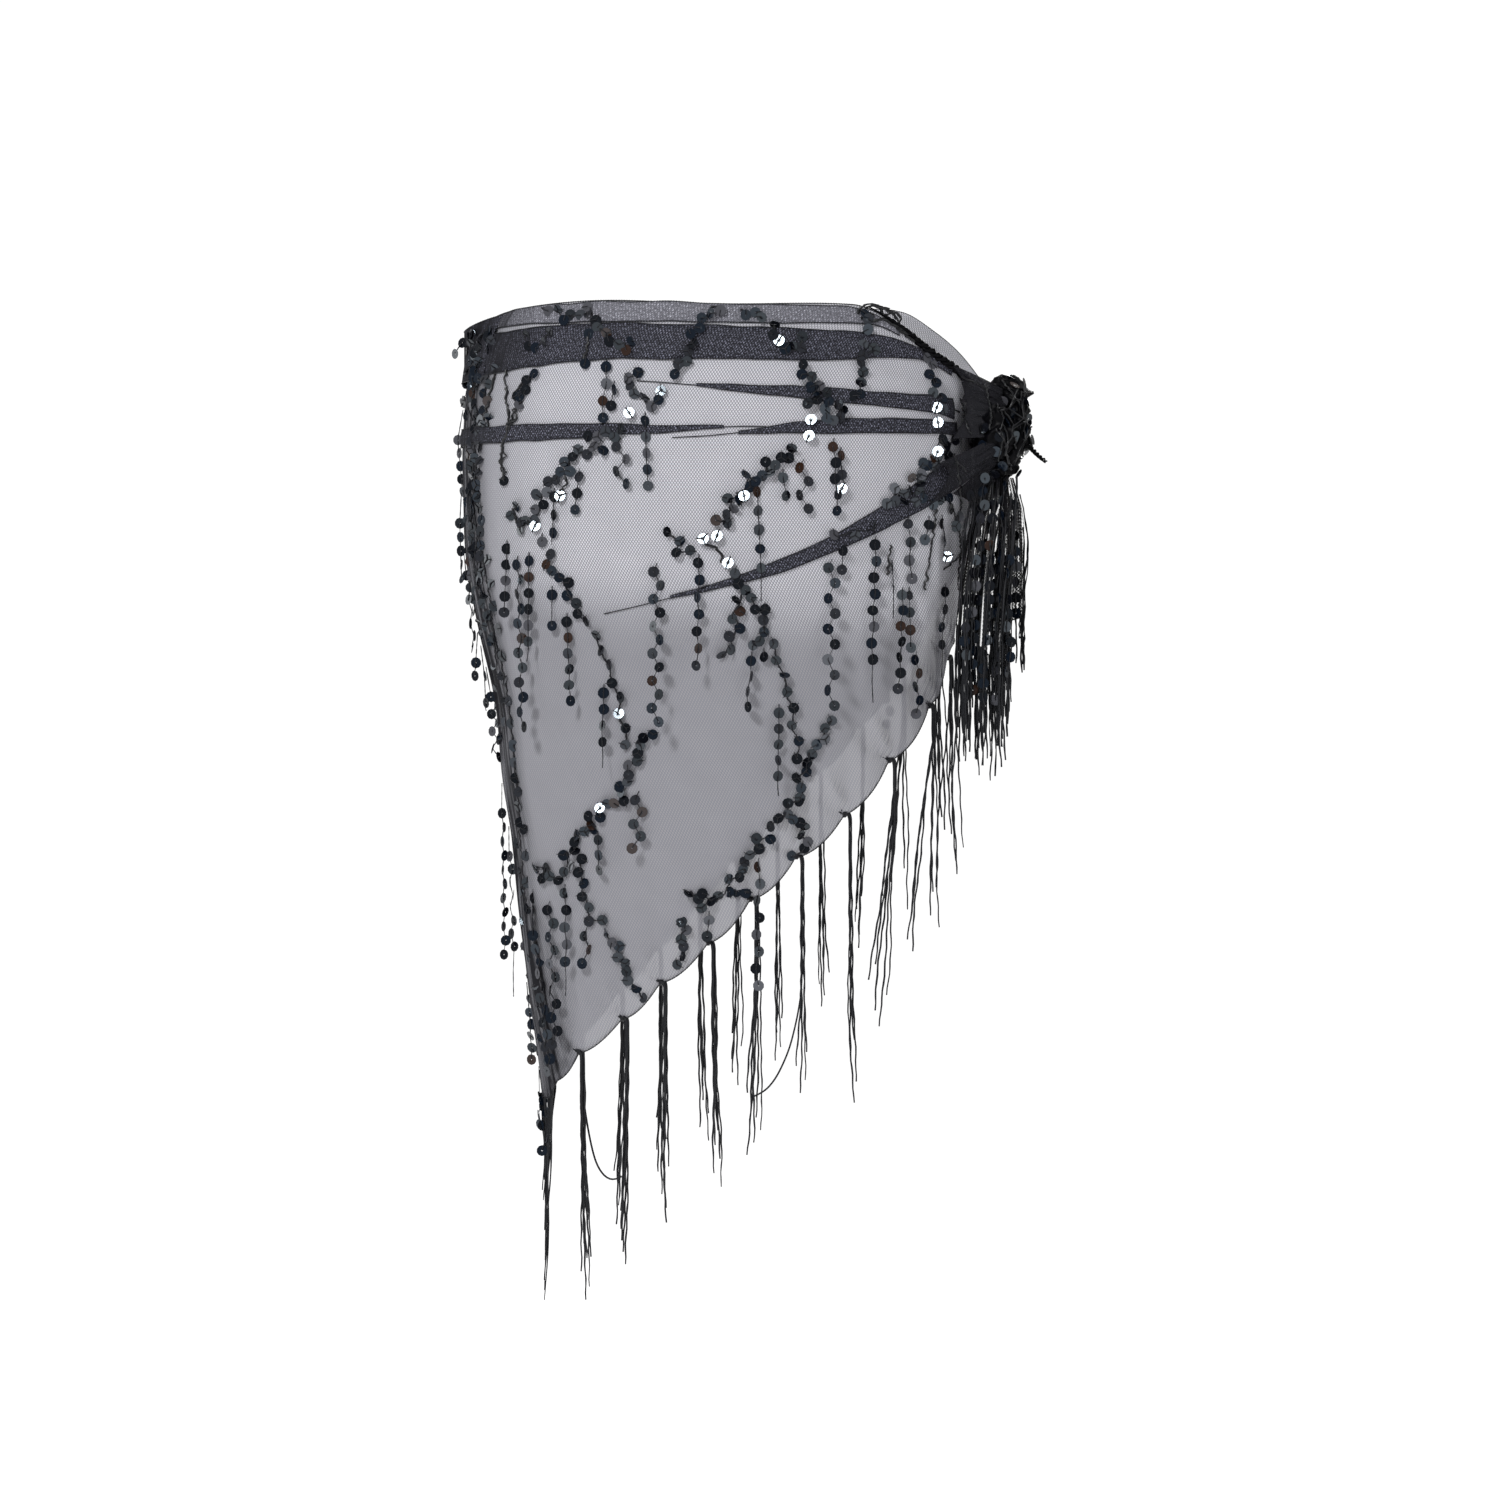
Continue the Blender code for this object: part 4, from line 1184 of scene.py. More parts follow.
def tail(name, draw):
    """A hanging end: pleated net, an overlocked lower edge and its fringe."""
    *shape, fringe, strands, flat = TAILS[name]
    across = np.linspace(0, 1, TAIL_COLUMNS + 1)[None, :]
    down = np.linspace(0, 1, TAIL_ROWS + 1)[:, None]
    across, down = np.broadcast_arrays(across, down)
    points = tail_places(*shape, across, down)
    uvs = np.stack([across * flat[0], down * flat[1]], -1)
    cloth = dress(shell(f"{name}_net", points, uvs, TAIL_CLOTH, TAIL_NET), "folded_cloth", name)
    edge = threads(f"{name}_edge", [stitched(points[-1])], TAIL_EDGE_RADIUS, EDGE_THREAD)
    dress(edge, "fringe_yarn")

    shorter = OUTER_SHORTER[name]
    runs = edge_strands(shape, strands, fringe, shorter, draw)
    runs += over_strands(shape, OVER_STRANDS[name], fringe, shorter, draw)
    dress(threads(f"{name}_yarn", runs, YARN_RADIUS, YARN), "fringe_yarn", f"{name}_fringe")


YARN_RADIUS = 0.66 * MM
YARN_STEP = 4.5 * MM
YARN_KINK = 0.28 * MM
KINK_LENGTH = 19 * MM
# A yarn's bends, in radians over the length of a common yarn, across and away.
COMMON_YARN = 0.15
BENDS = (11, 8)
# A yarn frays from this share of its length on, over this share, by this share of its size.
FRAY_START = 0.85
FRAY_OVER = 0.15
FRAY = 0.20
TASSEL_SPREAD = 4.2 * MM
TASSEL_SWAY = 3.0 * MM
SWAY_TURN = 2.1
SHORTEST_STRAND = 0.70
BUNDLE_RADIUS = 1.25 * MM
# One row for each tassel, from the tip round to the knot: strands, the longest strand's length, and how far
# down the yarns keep together, as a share.
BACK_TASSELS = [
    (5, 0.162, 0.80), (6, 0.160, 0.62), (5, 0.156, 0.70), (5, 0.158, 0.30), (6, 0.165, 0.45),
    (5, 0.153, 0.60), (4, 0.186, 0.40), (5, 0.172, 0.22), (6, 0.160, 0.15), (5, 0.150, 0.10),
]
FRONT_TASSELS = [
    (5, 0.148, 0.60), (5, 0.156, 0.45), (6, 0.150, 0.70), (5, 0.160, 0.35), (5, 0.152, 0.55),
    (5, 0.165, 0.40), (6, 0.158, 0.30), (5, 0.150, 0.50), (5, 0.160, 0.25), (5, 0.148, 0.35),
]


def yarn(root, length, spread, sway, draw, together=0.0):
    """One hanging yarn: it keeps to its bundle and then swings away to its own side, thinner at its end."""
    count = max(6, int(length / YARN_STEP))
    phase = draw.uniform(0, 6)
    bend = draw.uniform(0.25, 0.8) * MM
    run, sizes = [], []
    for k in range(count + 1):
        share = k / count
        parted = max(0, share - together) / (1 - together)
        centre = Vector(root) - Vector((0, 0, length * share)) + spread * parted**0.8 + sway * share**2
        wander = bend * min(1, 3 * share) * (0.4 + parted)
        centre.x += wander * math.sin(phase + BENDS[0] * share * length / COMMON_YARN)
        centre.y += wander * math.cos(1.3 * phase + BENDS[1] * share * length / COMMON_YARN)
        kinks = 5 * phase + 2 * math.pi * share * length / KINK_LENGTH
        centre.x += YARN_KINK * min(1, 4 * share) * math.sin(kinks)
        run.append(centre)
        fray = 1 - FRAY * max(0, share - FRAY_START) / FRAY_OVER
        sizes.append(fray * draw.uniform(0.8, 1.1))
    return run, sizes


# The winding at the hem: its points in all and to a turn, its radius, and where its loose stitches point.
WIND_POINTS = 22
WIND_TURN_POINTS = 8
WIND_RADIUS_MM = 1.5
LOOSE_STITCH_LEANS = (150, 205, 120)


def hem_knot(place, out, along, draw):
    """The yarns wound round where they come through the hem, and the loose stitches beside them."""
    wound = []
    for k in range(WIND_POINTS):
        turn = k * 2 * math.pi / WIND_TURN_POINTS
        high = Vector((0, 0, math.sin(turn) * WIND_RADIUS_MM * MM))
        ring = out * math.cos(turn) * WIND_RADIUS_MM * MM + high
        wound.append(place + ring + along * (0.11 * k - 0.6) * MM)
    runs = [(wound, [1.0] * len(wound))]
    for lean in LOOSE_STITCH_LEANS:
        reach = draw.uniform(3.5, 8) * MM
        way = along * math.cos(math.radians(lean)) + Vector((0, 0, abs(math.sin(math.radians(lean)))))
        end = place + way * reach - out * 0.3 * MM
        runs.append(([place, place + way * reach * 0.5 + out * 0.3 * MM, end], [1.0, 0.7, 0.4]))
    return runs


ARCH_OVER = 4.2 * MM
ARCH_RISE = 1.6 * MM
ARCH_DROP = 5.5 * MM
ARCH_STEPS = 8
STRAY_SPREAD = 4.5 * MM
LOOSE_BUNDLE = 0.3
LOOSE_SWING = 17
# The last strand of a tassel strays from the bundle near its top, and is thinner.
STRAY_PARTS = 0.03
STRAY_THIN = 0.80
ARCH_THICK = 1.05
ARCH_APART_MM = 0.7


def tassel(name, angle, height, number, size, draw):
    """Yarns drawn through the hem, arched over it and left to hang in a bundle that parts lower down."""
    strands, length, together = size
    ahead = 1 if angle >= 0 else -1
    place = Vector(hip_point(angle, height + 0.4 * MM, 0.8 * MM))
    along = Vector(hip_point(angle + ahead, height)) - Vector(hip_point(angle - ahead, height))
    along.normalize()
    out = outward(angle, height)
    bend = place + along * ARCH_OVER + out * 0.8 * MM - Vector((0, 0, ARCH_DROP))
    sway = Vector((math.sin(SWAY_TURN * number), math.cos(SWAY_TURN * number), 0)) * TASSEL_SWAY
    runs = hem_knot(place, out, along, draw)
    for k in range(strands):
        turn = 2 * math.pi * (k + 0.5) / strands
        away = Vector((math.cos(turn), math.sin(turn), 0))
        share = 1 - (1 - SHORTEST_STRAND) * ((k * 7 + number * 3) % strands) / strands
        root = bend + away * BUNDLE_RADIUS * draw.uniform(0.6, 1.0)
        arch = []
        for step in range(ARCH_STEPS):
            t = step / ARCH_STEPS
            first = place + away * ARCH_APART_MM * MM
            point = first + (root - place - away * ARCH_APART_MM * MM) * math.sin(math.pi * t / 2)
            rise = ARCH_RISE * math.sin(math.pi * t)
            point.z = place.z + rise + (root.z - place.z) * t**2.2 + away.y * 0.8 * MM
            arch.append(point)
        parts = together * draw.uniform(0.75, 1.05)
        spread = away * (TASSEL_SPREAD - BUNDLE_RADIUS) * draw.uniform(0.1, 1.0)
        if together < LOOSE_BUNDLE:
            spread += Vector((-1, 0, 0)) * draw.uniform(-2, LOOSE_SWING) * MM
        thin = 1.0
        if k == strands - 1:
            parts, thin = STRAY_PARTS, STRAY_THIN
            spread = Vector((math.cos(5 * number), math.sin(5 * number), 0)) * STRAY_SPREAD
        run, sizes = yarn(root, (length - ARCH_DROP) * share, spread, sway, draw, min(0.9, parts))
        runs.append((arch + run, [thin * ARCH_THICK] * len(arch) + [thin * s for s in sizes]))
    dress(threads(f"yarn_{name}", runs, YARN_RADIUS, YARN, sides=1), "fringe_yarn", name)


TIP_STRANDS = 14
TIP_LENGTH = 0.134
TIP_SHORTEST = 0.36
TIP_POINTS = 28
TIP_WANDER = 0.5 * MM
TIP_TURN = 21
TIP_MEET = 0.66
TIP_MEET_INSET = 0.0045
TIP_SWING = 0.0035


def tip_tassel(draw):
    """The yarns of the hanging point: knotted along its lower edge, and drawn together lower down."""
    runs = []
    for k in range(TIP_STRANDS):
        angle = TIP_TURN * (2 * k / (TIP_STRANDS - 1) - 1)
        start = Vector(hip_point(angle, float(hem_height(angle)) + 0.003, 0.9 * MM))
        meet = Vector((-half_width(TIP_HEIGHT) + TIP_MEET_INSET, 0, 0))
        longer = (1 - TIP_SHORTEST) * ((k * 5) % TIP_STRANDS) / (TIP_STRANDS - 1)
        lowest = TIP_HEIGHT - TIP_LENGTH * (TIP_SHORTEST + longer)
        phase = draw.uniform(0, 6)
        run, sizes = [], []
        for step in range(TIP_POINTS):
            share = step / (TIP_POINTS - 1)
            height = start.z + (lowest - start.z) * share
            apart = max(0.05, 1 - (start.z - height) / (TIP_LENGTH * TIP_MEET)) ** 1.1
            centre = Vector((meet.x + (start.x - meet.x) * apart, start.y * apart, height))
            centre.x += TIP_WANDER * math.sin(phase + 9 * share) - TIP_SWING * share**2
            centre.y += TIP_WANDER * math.cos(phase + 7 * share)
            run.append(centre)
            sizes.append((1.25 - 0.7 * share) * draw.uniform(0.85, 1.1))
        runs.append((run, sizes))
    dress(threads("yarn_tip_tassel", runs, YARN_RADIUS, YARN, sides=1), "fringe_yarn", "tip_tassel")


def tassels(draw):
    tip_tassel(draw)
    for side, places, rows in (("back", BACK_PLACES, BACK_TASSELS), ("front", FRONT_PLACES, FRONT_TASSELS)):
        for number, ((angle, height), size) in enumerate(zip(places, rows), 1):
            tassel(f"{side}_tassel_{number:02d}", angle, height, number, size, draw)


# The sequins' layout on the photographed side, in pixels of the photo. A sewn line is a route over the net,
# with the distance between its sequins and how far they sit aside of it by turns.
SEWN_LINES = {
    "corner": (
        [(487, 334), (477, 345), (477, 362), (475, 384), (468, 402), (477, 408), (478, 428)],
        8, 2,
    ),
    "corner_edge": (
        [(465, 332), (474, 330), (468, 345), (473, 360), (468, 378), (474, 392), (466, 404),
         (472, 420)],
        6, 3,
    ),
    "corner_inner": (
        [(497, 330), (486, 338), (490, 352), (482, 362), (487, 380), (484, 402), (488, 425)],
        8, 3,
    ),
    "edge_mass": (
        [(474, 436), (476, 470), (472, 500), (477, 535), (474, 570), (480, 610), (487, 640)],
        6, 4,
    ),
    "edge_mass_low": (
        [(483, 560), (490, 600), (494, 640), (499, 690), (503, 735)],
        12, 3,
    ),
    "edge_foot": (
        [(519, 830), (523, 870), (526, 905), (528, 950), (532, 990), (537, 1030), (543, 1062)],
        13, 3,
    ),
    "corner_glint": (
        [(488, 337), (492, 352), (495, 368)],
        13, 0,
    ),
    "left_edge": (
        [(474, 440), (473, 476), (475, 496), (469, 508), (472, 545), (478, 591)],
        9, 2,
    ),
    "left_chain": (
        [(488, 615), (500, 657), (506, 686), (510, 716), (513, 745)],
        24, 1,
    ),
    "left_chain_low": (
        [(513, 747), (515, 773), (518, 801), (520, 822)],
        14, 0,
    ),
    "top_left": (
        [(541, 308), (552, 308), (566, 320), (590, 307), (594, 322), (607, 338), (622, 350),
         (632, 343)],
        9, 2,
    ),
    "band_left": (
        [(524, 337), (534, 351), (549, 334)],
        10, 1,
    ),
    "shoulder": (
        [(531, 373), (522, 392), (520, 404), (515, 396)],
        9, 2,
    ),
    "second_left": (
        [(636, 372), (625, 383), (637, 394), (650, 406), (659, 402), (659, 391)],
        10, 2,
    ),
    "hip_cluster": (
        [(589, 438), (599, 432), (609, 437), (621, 431)],
        9, 2,
    ),
    "upper_left": (
        [(602, 447), (583, 452), (571, 456), (567, 471), (555, 475), (541, 496), (539, 512),
         (530, 522), (518, 528), (513, 508)],
        8, 3,
    ),
    "left_middle": (
        [(549, 554), (547, 571), (563, 578), (568, 594), (576, 606), (584, 622)],
        10, 2,
    ),
    "left_wander": (
        [(596, 635), (600, 652), (609, 666), (612, 684), (621, 699), (618, 716), (627, 731),
         (625, 745)],
        16, 0,
    ),
    "centre": (
        [(667, 533), (679, 541), (675, 554), (691, 550)],
        13, 0,
    ),
    "centre_rise": (
        [(717, 523), (729, 519), (731, 499), (744, 493), (749, 478), (765, 479), (768, 463),
         (784, 461), (794, 452)],
        8, 3,
    ),
    "right_top": (
        [(774, 326), (776, 342), (788, 350), (798, 350), (804, 338)],
        9, 2,
    ),
    "right_fall": (
        [(801, 366), (809, 376), (811, 387), (822, 389), (815, 398), (811, 405)],
        8, 3,
    ),
    "right_turn": (
        [(825, 395), (833, 405), (845, 411), (834, 424), (823, 412)],
        9, 2,
    ),
    "top_middle": (
        [(722, 308), (712, 306), (706, 316), (697, 327), (692, 338), (691, 350), (687, 359),
         (674, 374)],
        9, 2,
    ),
    "top_middle_end": (
        [(740, 310), (754, 314), (762, 316)],
        8, 2,
    ),
    "top_right": (
        [(895, 310), (884, 313), (872, 308), (864, 311), (875, 316), (866, 327)],
        7, 2,
    ),
    "top_right_fall": (
        [(863, 345), (879, 348), (859, 358), (865, 372), (860, 384), (862, 396), (853, 395)],
        11, 1,
    ),
    "far_right": (
        [(921, 351), (928, 355), (932, 372), (935, 388), (938, 397), (946, 408)],
        9, 2,
    ),
    "far_right_low": (
        [(941, 438), (932, 461), (926, 465)],
        10, 2,
    ),
    "diagonal": (
        [(954, 439), (943, 456), (930, 468), (914, 478), (926, 483), (911, 495), (899, 490),
         (889, 506)],
        8, 3,
    ),
    "diagonal_low": (
        [(905, 503), (926, 500), (941, 503), (944, 492), (954, 509), (957, 526)],
        9, 2,
    ),
    "diagonal_far": (
        [(834, 537), (850, 533), (875, 529)],
        20, 2,
    ),
    "under_diagonal": (
        [(732, 577), (744, 584), (739, 606), (733, 612), (738, 624), (731, 644), (723, 657)],
        11, 3,
    ),
    "middle_bunch": (
        [(751, 599), (757, 609), (765, 609), (764, 627), (760, 644), (752, 644)],
        10, 1,
    ),
    "right_wander": (
        [(774, 643), (777, 662), (785, 677), (787, 696), (794, 711), (792, 729), (800, 742),
         (797, 758)],
        17, 0,
    ),
    "lower_right": (
        [(831, 720), (825, 731), (821, 745), (810, 751), (808, 769), (798, 778), (799, 794),
         (806, 799), (790, 803), (784, 818), (770, 824)],
        10, 2,
    ),
    "lower_right_end": (
        [(769, 837), (757, 841), (757, 853), (742, 861), (746, 872), (731, 880), (724, 895),
         (715, 902), (702, 896), (701, 907), (691, 891)],
        10, 2,
    ),
    "lower_right_side": (
        [(793, 821), (805, 822), (801, 834), (808, 843), (801, 855), (792, 857)],
        9, 1,
    ),
    "lower_right_foot": (
        [(736, 893), (748, 891), (748, 903), (743, 911)],
        10, 1,
    ),
    "hem_middle": (
        [(682, 921), (686, 931), (679, 940), (685, 951), (678, 965)],
        11, 0,
    ),
    "low_left": (
        [(652, 734), (639, 741), (639, 759), (627, 767), (629, 782), (617, 787), (625, 799),
         (614, 804), (601, 804), (599, 817)],
        9, 1,
    ),
    "low_left_end": (
        [(586, 818), (596, 827), (586, 832), (575, 834), (576, 846), (567, 854), (568, 868),
         (562, 877), (543, 880), (543, 868), (535, 867)],
        9, 2,
    ),
    "low_left_turn": (
        [(580, 860), (581, 875), (582, 891), (587, 903), (589, 919), (602, 921)],
        12, 2,
    ),
    "low_left_foot": (
        [(606, 933), (612, 945), (619, 944), (617, 959), (630, 967), (624, 974), (632, 983),
         (640, 994), (648, 1006), (653, 1017)],
        11, 0,
    ),
}
# A hanging string: the pixel across and down of its first sequin and of its last, the distance between its
# sequins, how far they swing aside by turns, and the length of bare thread below them.
HUNG_STRINGS = [
    (470, 333, 455, 355, 13, 0, 0), (458, 441, 463, 493, 13, 0, 0), (460, 524, 462, 579, 13.5, 0, 0),
    (468, 576, 474, 648, 13, 1.5, 0), (476, 663, 475, 676, 12, 0, 0), (485, 676, 486, 703, 26, 0, 8),
    (494, 697, 496, 757, 9, 3, 0), (503, 813, 505, 954, 14, 1, 0), (511, 856, 513, 946, 12.5, 1.5, 50),
    (530, 1012, 532, 1059, 11.6, 0.5, 0), (589, 334, 585, 364, 30, 0, 3),
    (607, 367, 602, 418, 17, 1, 0), (614, 390, 611, 406, 16, 0, 0), (504, 481, 504, 482, 97, 0, 0),
    (645, 421, 648, 486, 16, 0, 0), (621, 447, 621, 484, 12, 5, 3), (579, 477, 575, 510, 16, 0, 0),
    (554, 497, 553, 533, 18, 0, 12), (542, 542, 542, 543, 20, 0, 0), (552, 595, 552, 626, 30, 0, 0),
    (507, 549, 504, 613, 16, 0, 0), (518, 565, 522, 727, 14.7, 2, 0), (529, 561, 528, 642, 16, 0, 20),
    (567, 622, 570, 701, 15.7, 0.5, 0), (604, 693, 602, 742, 16, 0.5, 26),
    (657, 572, 655, 722, 14, 3.5, 0), (699, 563, 697, 666, 17, 1, 0), (757, 492, 761, 568, 18.7, 0, 34),
    (783, 478, 786, 496, 17, 0, 0), (804, 468, 804, 509, 13.3, 4.5, 4), (834, 447, 838, 511, 16, 1, 0),
    (841, 456, 842, 475, 17, 0, 12), (752, 661, 747, 707, 15.5, 1, 0), (764, 657, 764, 658, 20, 0, 0),
    (779, 713, 778, 776, 16, 0, 20), (832, 568, 831, 706, 15.5, 3.5, 0), (843, 551, 842, 570, 18, 0, 0),
    (876, 545, 872, 660, 16.4, 1, 43), (909, 524, 911, 579, 18, 1, 0), (903, 595, 899, 689, 15.5, 1, 0),
    (909, 595, 911, 648, 17, 0, 0), (917, 660, 918, 714, 15, 2, 0), (892, 569, 893, 586, 16, 0, 33),
    (929, 525, 925, 540, 14, 0, 0), (942, 524, 945, 541, 17, 0, 16), (946, 592, 941, 645, 17, 1, 33),
    (759, 867, 757, 984, 16, 1.5, 0), (748, 920, 750, 949, 14, 0, 0), (709, 920, 707, 936, 15, 0, 0),
    (598, 840, 599, 870, 14.5, 0, 0), (639, 800, 636, 848, 12, 4, 0), (565, 893, 566, 961, 16, 1, 34),
    (550, 910, 555, 1043, 13.5, 3, 0), (533, 898, 533, 935, 12, 0, 0), (537, 949, 549, 1070, 12, 2, 0),
    (587, 936, 585, 963, 12.5, 3, 0), (541, 1096, 539, 1124, 11, 1, 0),
    (545, 1100, 544, 1150, 12.5, 2, 0),
]
# Sequins that catch the main light.
BRIGHT_SEQUINS = [
    (629, 413), (811, 420), (809, 436), (717, 536), (703, 539), (728, 563), (947, 557), (937, 408),
    (938, 423), (938, 452), (842, 489), (779, 341), (744, 496), (560, 496), (535, 526),
]
SEQUIN_RADIUS = 3.65 * MM
SEQUIN_HOLE = 0.50 * MM
SEQUIN_CUP = 0.06 * MM
SEQUIN_FILM = 0.22 * MM
SEQUIN_SIDES = 10
SEWN_LIFT = 1.3 * MM
HUNG_LIFT = 2.6 * MM
BAND_LIFT_ROOM = 1.4 * MM
THREAD_RADIUS = 0.29 * MM
# The far side repeats the layout, moved along and down by these pixels so that the two don't line up.
FAR_SHIFT = (-23, 9)
# The strings left of this pixel hang at the outline, and the far side has none of them.
FAR_FROM = 500
# Sequins near the outline hang turned to the viewing side rather than straight out from the hips.
TOWARDS_VIEW = Vector((0, -1, 0))
SEWN_TURN = 0.5
HUNG_TURN = 0.8
# How far sequins turn and tip by chance, in degrees.
SEWN_YAW = 22
SEWN_TILT = 19
HUNG_YAW = 25
HUNG_TILT = 9
# The room that the net needs round a sequin, a chain's point and a string's top.
SEWN_ROOM = 2.5 * MM
CHAIN_ROOM = 2 * MM
STRING_ROOM = 1.5 * MM
CHAIN_LIFT = 0.9 * MM
# Points of a chain are this many pixels apart on a sewn line, and this many elsewhere.
CHAIN_STEP = 2.2
ROUTE_STEP = 2.4
STRING_STEP = 1.7 * MM
# Half the knot's reach that its strings of thread cross, along, out and up.
KNOT_STRING_REACH = (0.024, 0.012, 0.030)
KNOT_STRING_POINTS = 22
KNOT_STRING_STAND_MM = 14
KNOT_SEQUINS = 42
KNOT_SEQUIN_ROOM = 5.0 * MM
KNOT_SEQUIN_LIFT_MM = 1.5
KNOT_SEQUIN_YAW = 28
TAIL_SEQUIN_YAW = 40
OUTER_TURN = 0.6
# The part of the photo, in pixels, where the corner fold stands off the hip.
CORNER_ACROSS = 506
CORNER_DOWN = 384
KNOT_STRINGS = 12
INSIDE_ROOM = 2 * MM
OUTER_ROOT_TURN = 5
OUTER_ROOT_RISE = 0.014


# Where each of the sequins' colours starts, as a share of them all. The grey ones are painted light, lighter
# as if turned to the lamps. The blue-black ones have a cool tint of their own that also paints their sheen.
SEQUIN_COLOURS = [
    (0.0, (0.0026, 0.0029, 0.0045)),
    (0.45, (0.0030, 0.0052, 0.0100)),
    (0.74, (0.014, 0.0145, 0.018)),
    (0.90, (0.048, 0.048, 0.055)),
    (0.965, (0.020, 0.010, 0.0065)),
]
# The sequins that catch the main light also take the grey colour: a painted highlight over their real
# reflection.
PAINTED_HIGHLIGHT_TONE = 0.95


def sequin_material():
    """Glossy film: near black with a cool sheen, and each sequin's tone from its attribute, which for some is
    painted light.
    """
    made, tree, shader = shader_material("sequin_film", (0.006, 0.008, 0.011), 0.14, 0.36)
    tone = add_node(tree, "ShaderNodeAttribute", attribute_name="tone")
    shades = add_node(tree, "ShaderNodeValToRGB")
    ramp = shades.color_ramp
    ramp.interpolation = "CONSTANT"
    for k, (start, colour) in enumerate(SEQUIN_COLOURS):
        step = ramp.elements[k] if k < 2 else ramp.elements.new(start)
        step.position = start
        step.color = (*colour, 1)
    tree.links.new(tone.outputs["Fac"], shades.inputs[0])
    tree.links.new(shades.outputs[0], shader.inputs["Base Color"])
    shader.inputs["Specular Tint"].default_value = (0.78, 0.90, 1.0, 1)
    place = add_node(tree, "ShaderNodeTexCoord")
    scratches = add_node(tree, "ShaderNodeTexNoise")
    scratches.inputs["Scale"].default_value = 380
    tree.links.new(place.outputs["Object"], scratches.inputs["Vector"])
    rough = add_node(tree, "ShaderNodeMapRange")
    tree.links.new(scratches.outputs[0], rough.inputs["Value"])
    rough.inputs["To Min"].default_value = 0.07
    rough.inputs["To Max"].default_value = 0.18
    tree.links.new(rough.outputs[0], shader.inputs["Roughness"])
    return made


def first_sequin():
    """One sequin, facing +Z with its hole at the origin: a disc, inset to a rim and a shallow cup."""
    deselect()
    bpy.ops.mesh.primitive_circle_add(vertices=SEQUIN_SIDES, radius=SEQUIN_RADIUS, fill_type="NGON")
    disc = bpy.context.object
    bpy.ops.object.mode_set(mode="EDIT")
    bpy.ops.mesh.select_all(action="SELECT")
    bpy.ops.mesh.inset(thickness=SEQUIN_RADIUS * 0.55, depth=-0.2 * SEQUIN_CUP)
    bpy.ops.mesh.inset(thickness=SEQUIN_RADIUS * 0.45 - SEQUIN_HOLE, depth=-SEQUIN_CUP)
    bpy.ops.mesh.delete(type="FACE")
    bpy.ops.mesh.select_all(action="DESELECT")
    bpy.ops.object.mode_set(mode="OBJECT")
    apply_modifier(disc, "SOLIDIFY", thickness=SEQUIN_FILM, offset=0)
    points = np.array([v.co for v in disc.data.vertices])
    faces = [list(f.vertices) for f in disc.data.polygons]
    bpy.data.objects.remove(disc, do_unlink=True)
    return points, faces


def sewn_down(name, sequins, film):
    """A piece of many sequins, each copied to its place. A sequin is its place, the way it faces, its up
    direction, its size and its tone."""
    points, faces = first_sequin()
    all_points, all_faces, tones = [], [], []
    for place, facing, up, size, tone in sequins:
        facing = Vector(facing).normalized()
        side = Vector(up).cross(facing).normalized()
        frame = np.array([side, facing.cross(side), facing])
        start = len(points) * len(tones)
        all_points.append(points @ frame * size + np.array(place))
        all_faces.extend([[start + i for i in f] for f in faces])
        tones.append(tone)
    obj = link_mesh(name, np.concatenate(all_points), all_faces, film)
    layer = obj.data.attributes.new("tone", "FLOAT", "POINT")
    layer.data.foreach_set("value", np.repeat(np.array(tones, np.float32), len(points)))
    return dress(obj, "sequin")


def see(px, py, lift, away=0.0):
    """The place in front of the cloth at a pixel, at least that far from the hips' middle, and its angle."""
    angle, height = seen_at(px, py)
    on_cloth = hip_point(angle, height, lift)
    y = min(float(on_cloth[1]), -away)
    x = at_depth(px, py, y).x
    if x < -half_width(height):
        y = min(-0.004, y)
    return Vector((x, y, height)), angle


def at_depth(px, py, y):
    """The place at a pixel of the photo, at that y."""
    across, height = on_photo(px, py, (y - CAMERA_PLACE.y) / -CAMERA_PLACE.y)
    return Vector((across, y, height))


def in_front(px, py, room, pieces):
    """The place a little in front of the nearest of those pieces at a pixel of the photo, or None."""
    aim = (at_depth(px, py, 0) - CAMERA_PLACE).normalized()
    hits = [piece.ray_cast(CAMERA_PLACE, aim) for piece in pieces]
    places = [spot for met, spot, _, _ in hits if met]
    if not places:
        return None
    return min(places, key=lambda spot: (spot - CAMERA_PLACE).length) - aim * room


def covered(angle, height, room):
    """Whether the net reaches that far, with room to spare."""
    inside = height < float(top_height(angle)) - room and height > float(hem_height(angle)) + room
    return inside and angle < BACK_END - 1


def within(px, py):
    """Whether a pixel lies well inside the outline of the hips."""
    across, height = on_photo(px, py)
    return abs(across) < half_width(height) - INSIDE_ROOM


def turned_about(direction, axis, degrees):
    return Matrix.Rotation(math.radians(degrees), 3, axis) @ Vector(direction)


def stitch(place, facing, along):
    """A stitch from a sequin's hole over its rim and down."""
    facing = Vector(facing).normalized()
    along = (Vector(along) - facing * facing.dot(Vector(along))).normalized()
    start = Vector(place) + facing * 0.45 * MM
    over = Vector(place) + along * SEQUIN_RADIUS + facing * 0.40 * MM
    end = Vector(place) + along * (SEQUIN_RADIUS + 0.9 * MM) - facing * 0.7 * MM
    return [start, over, end], [1.2, 1.0, 0.8]


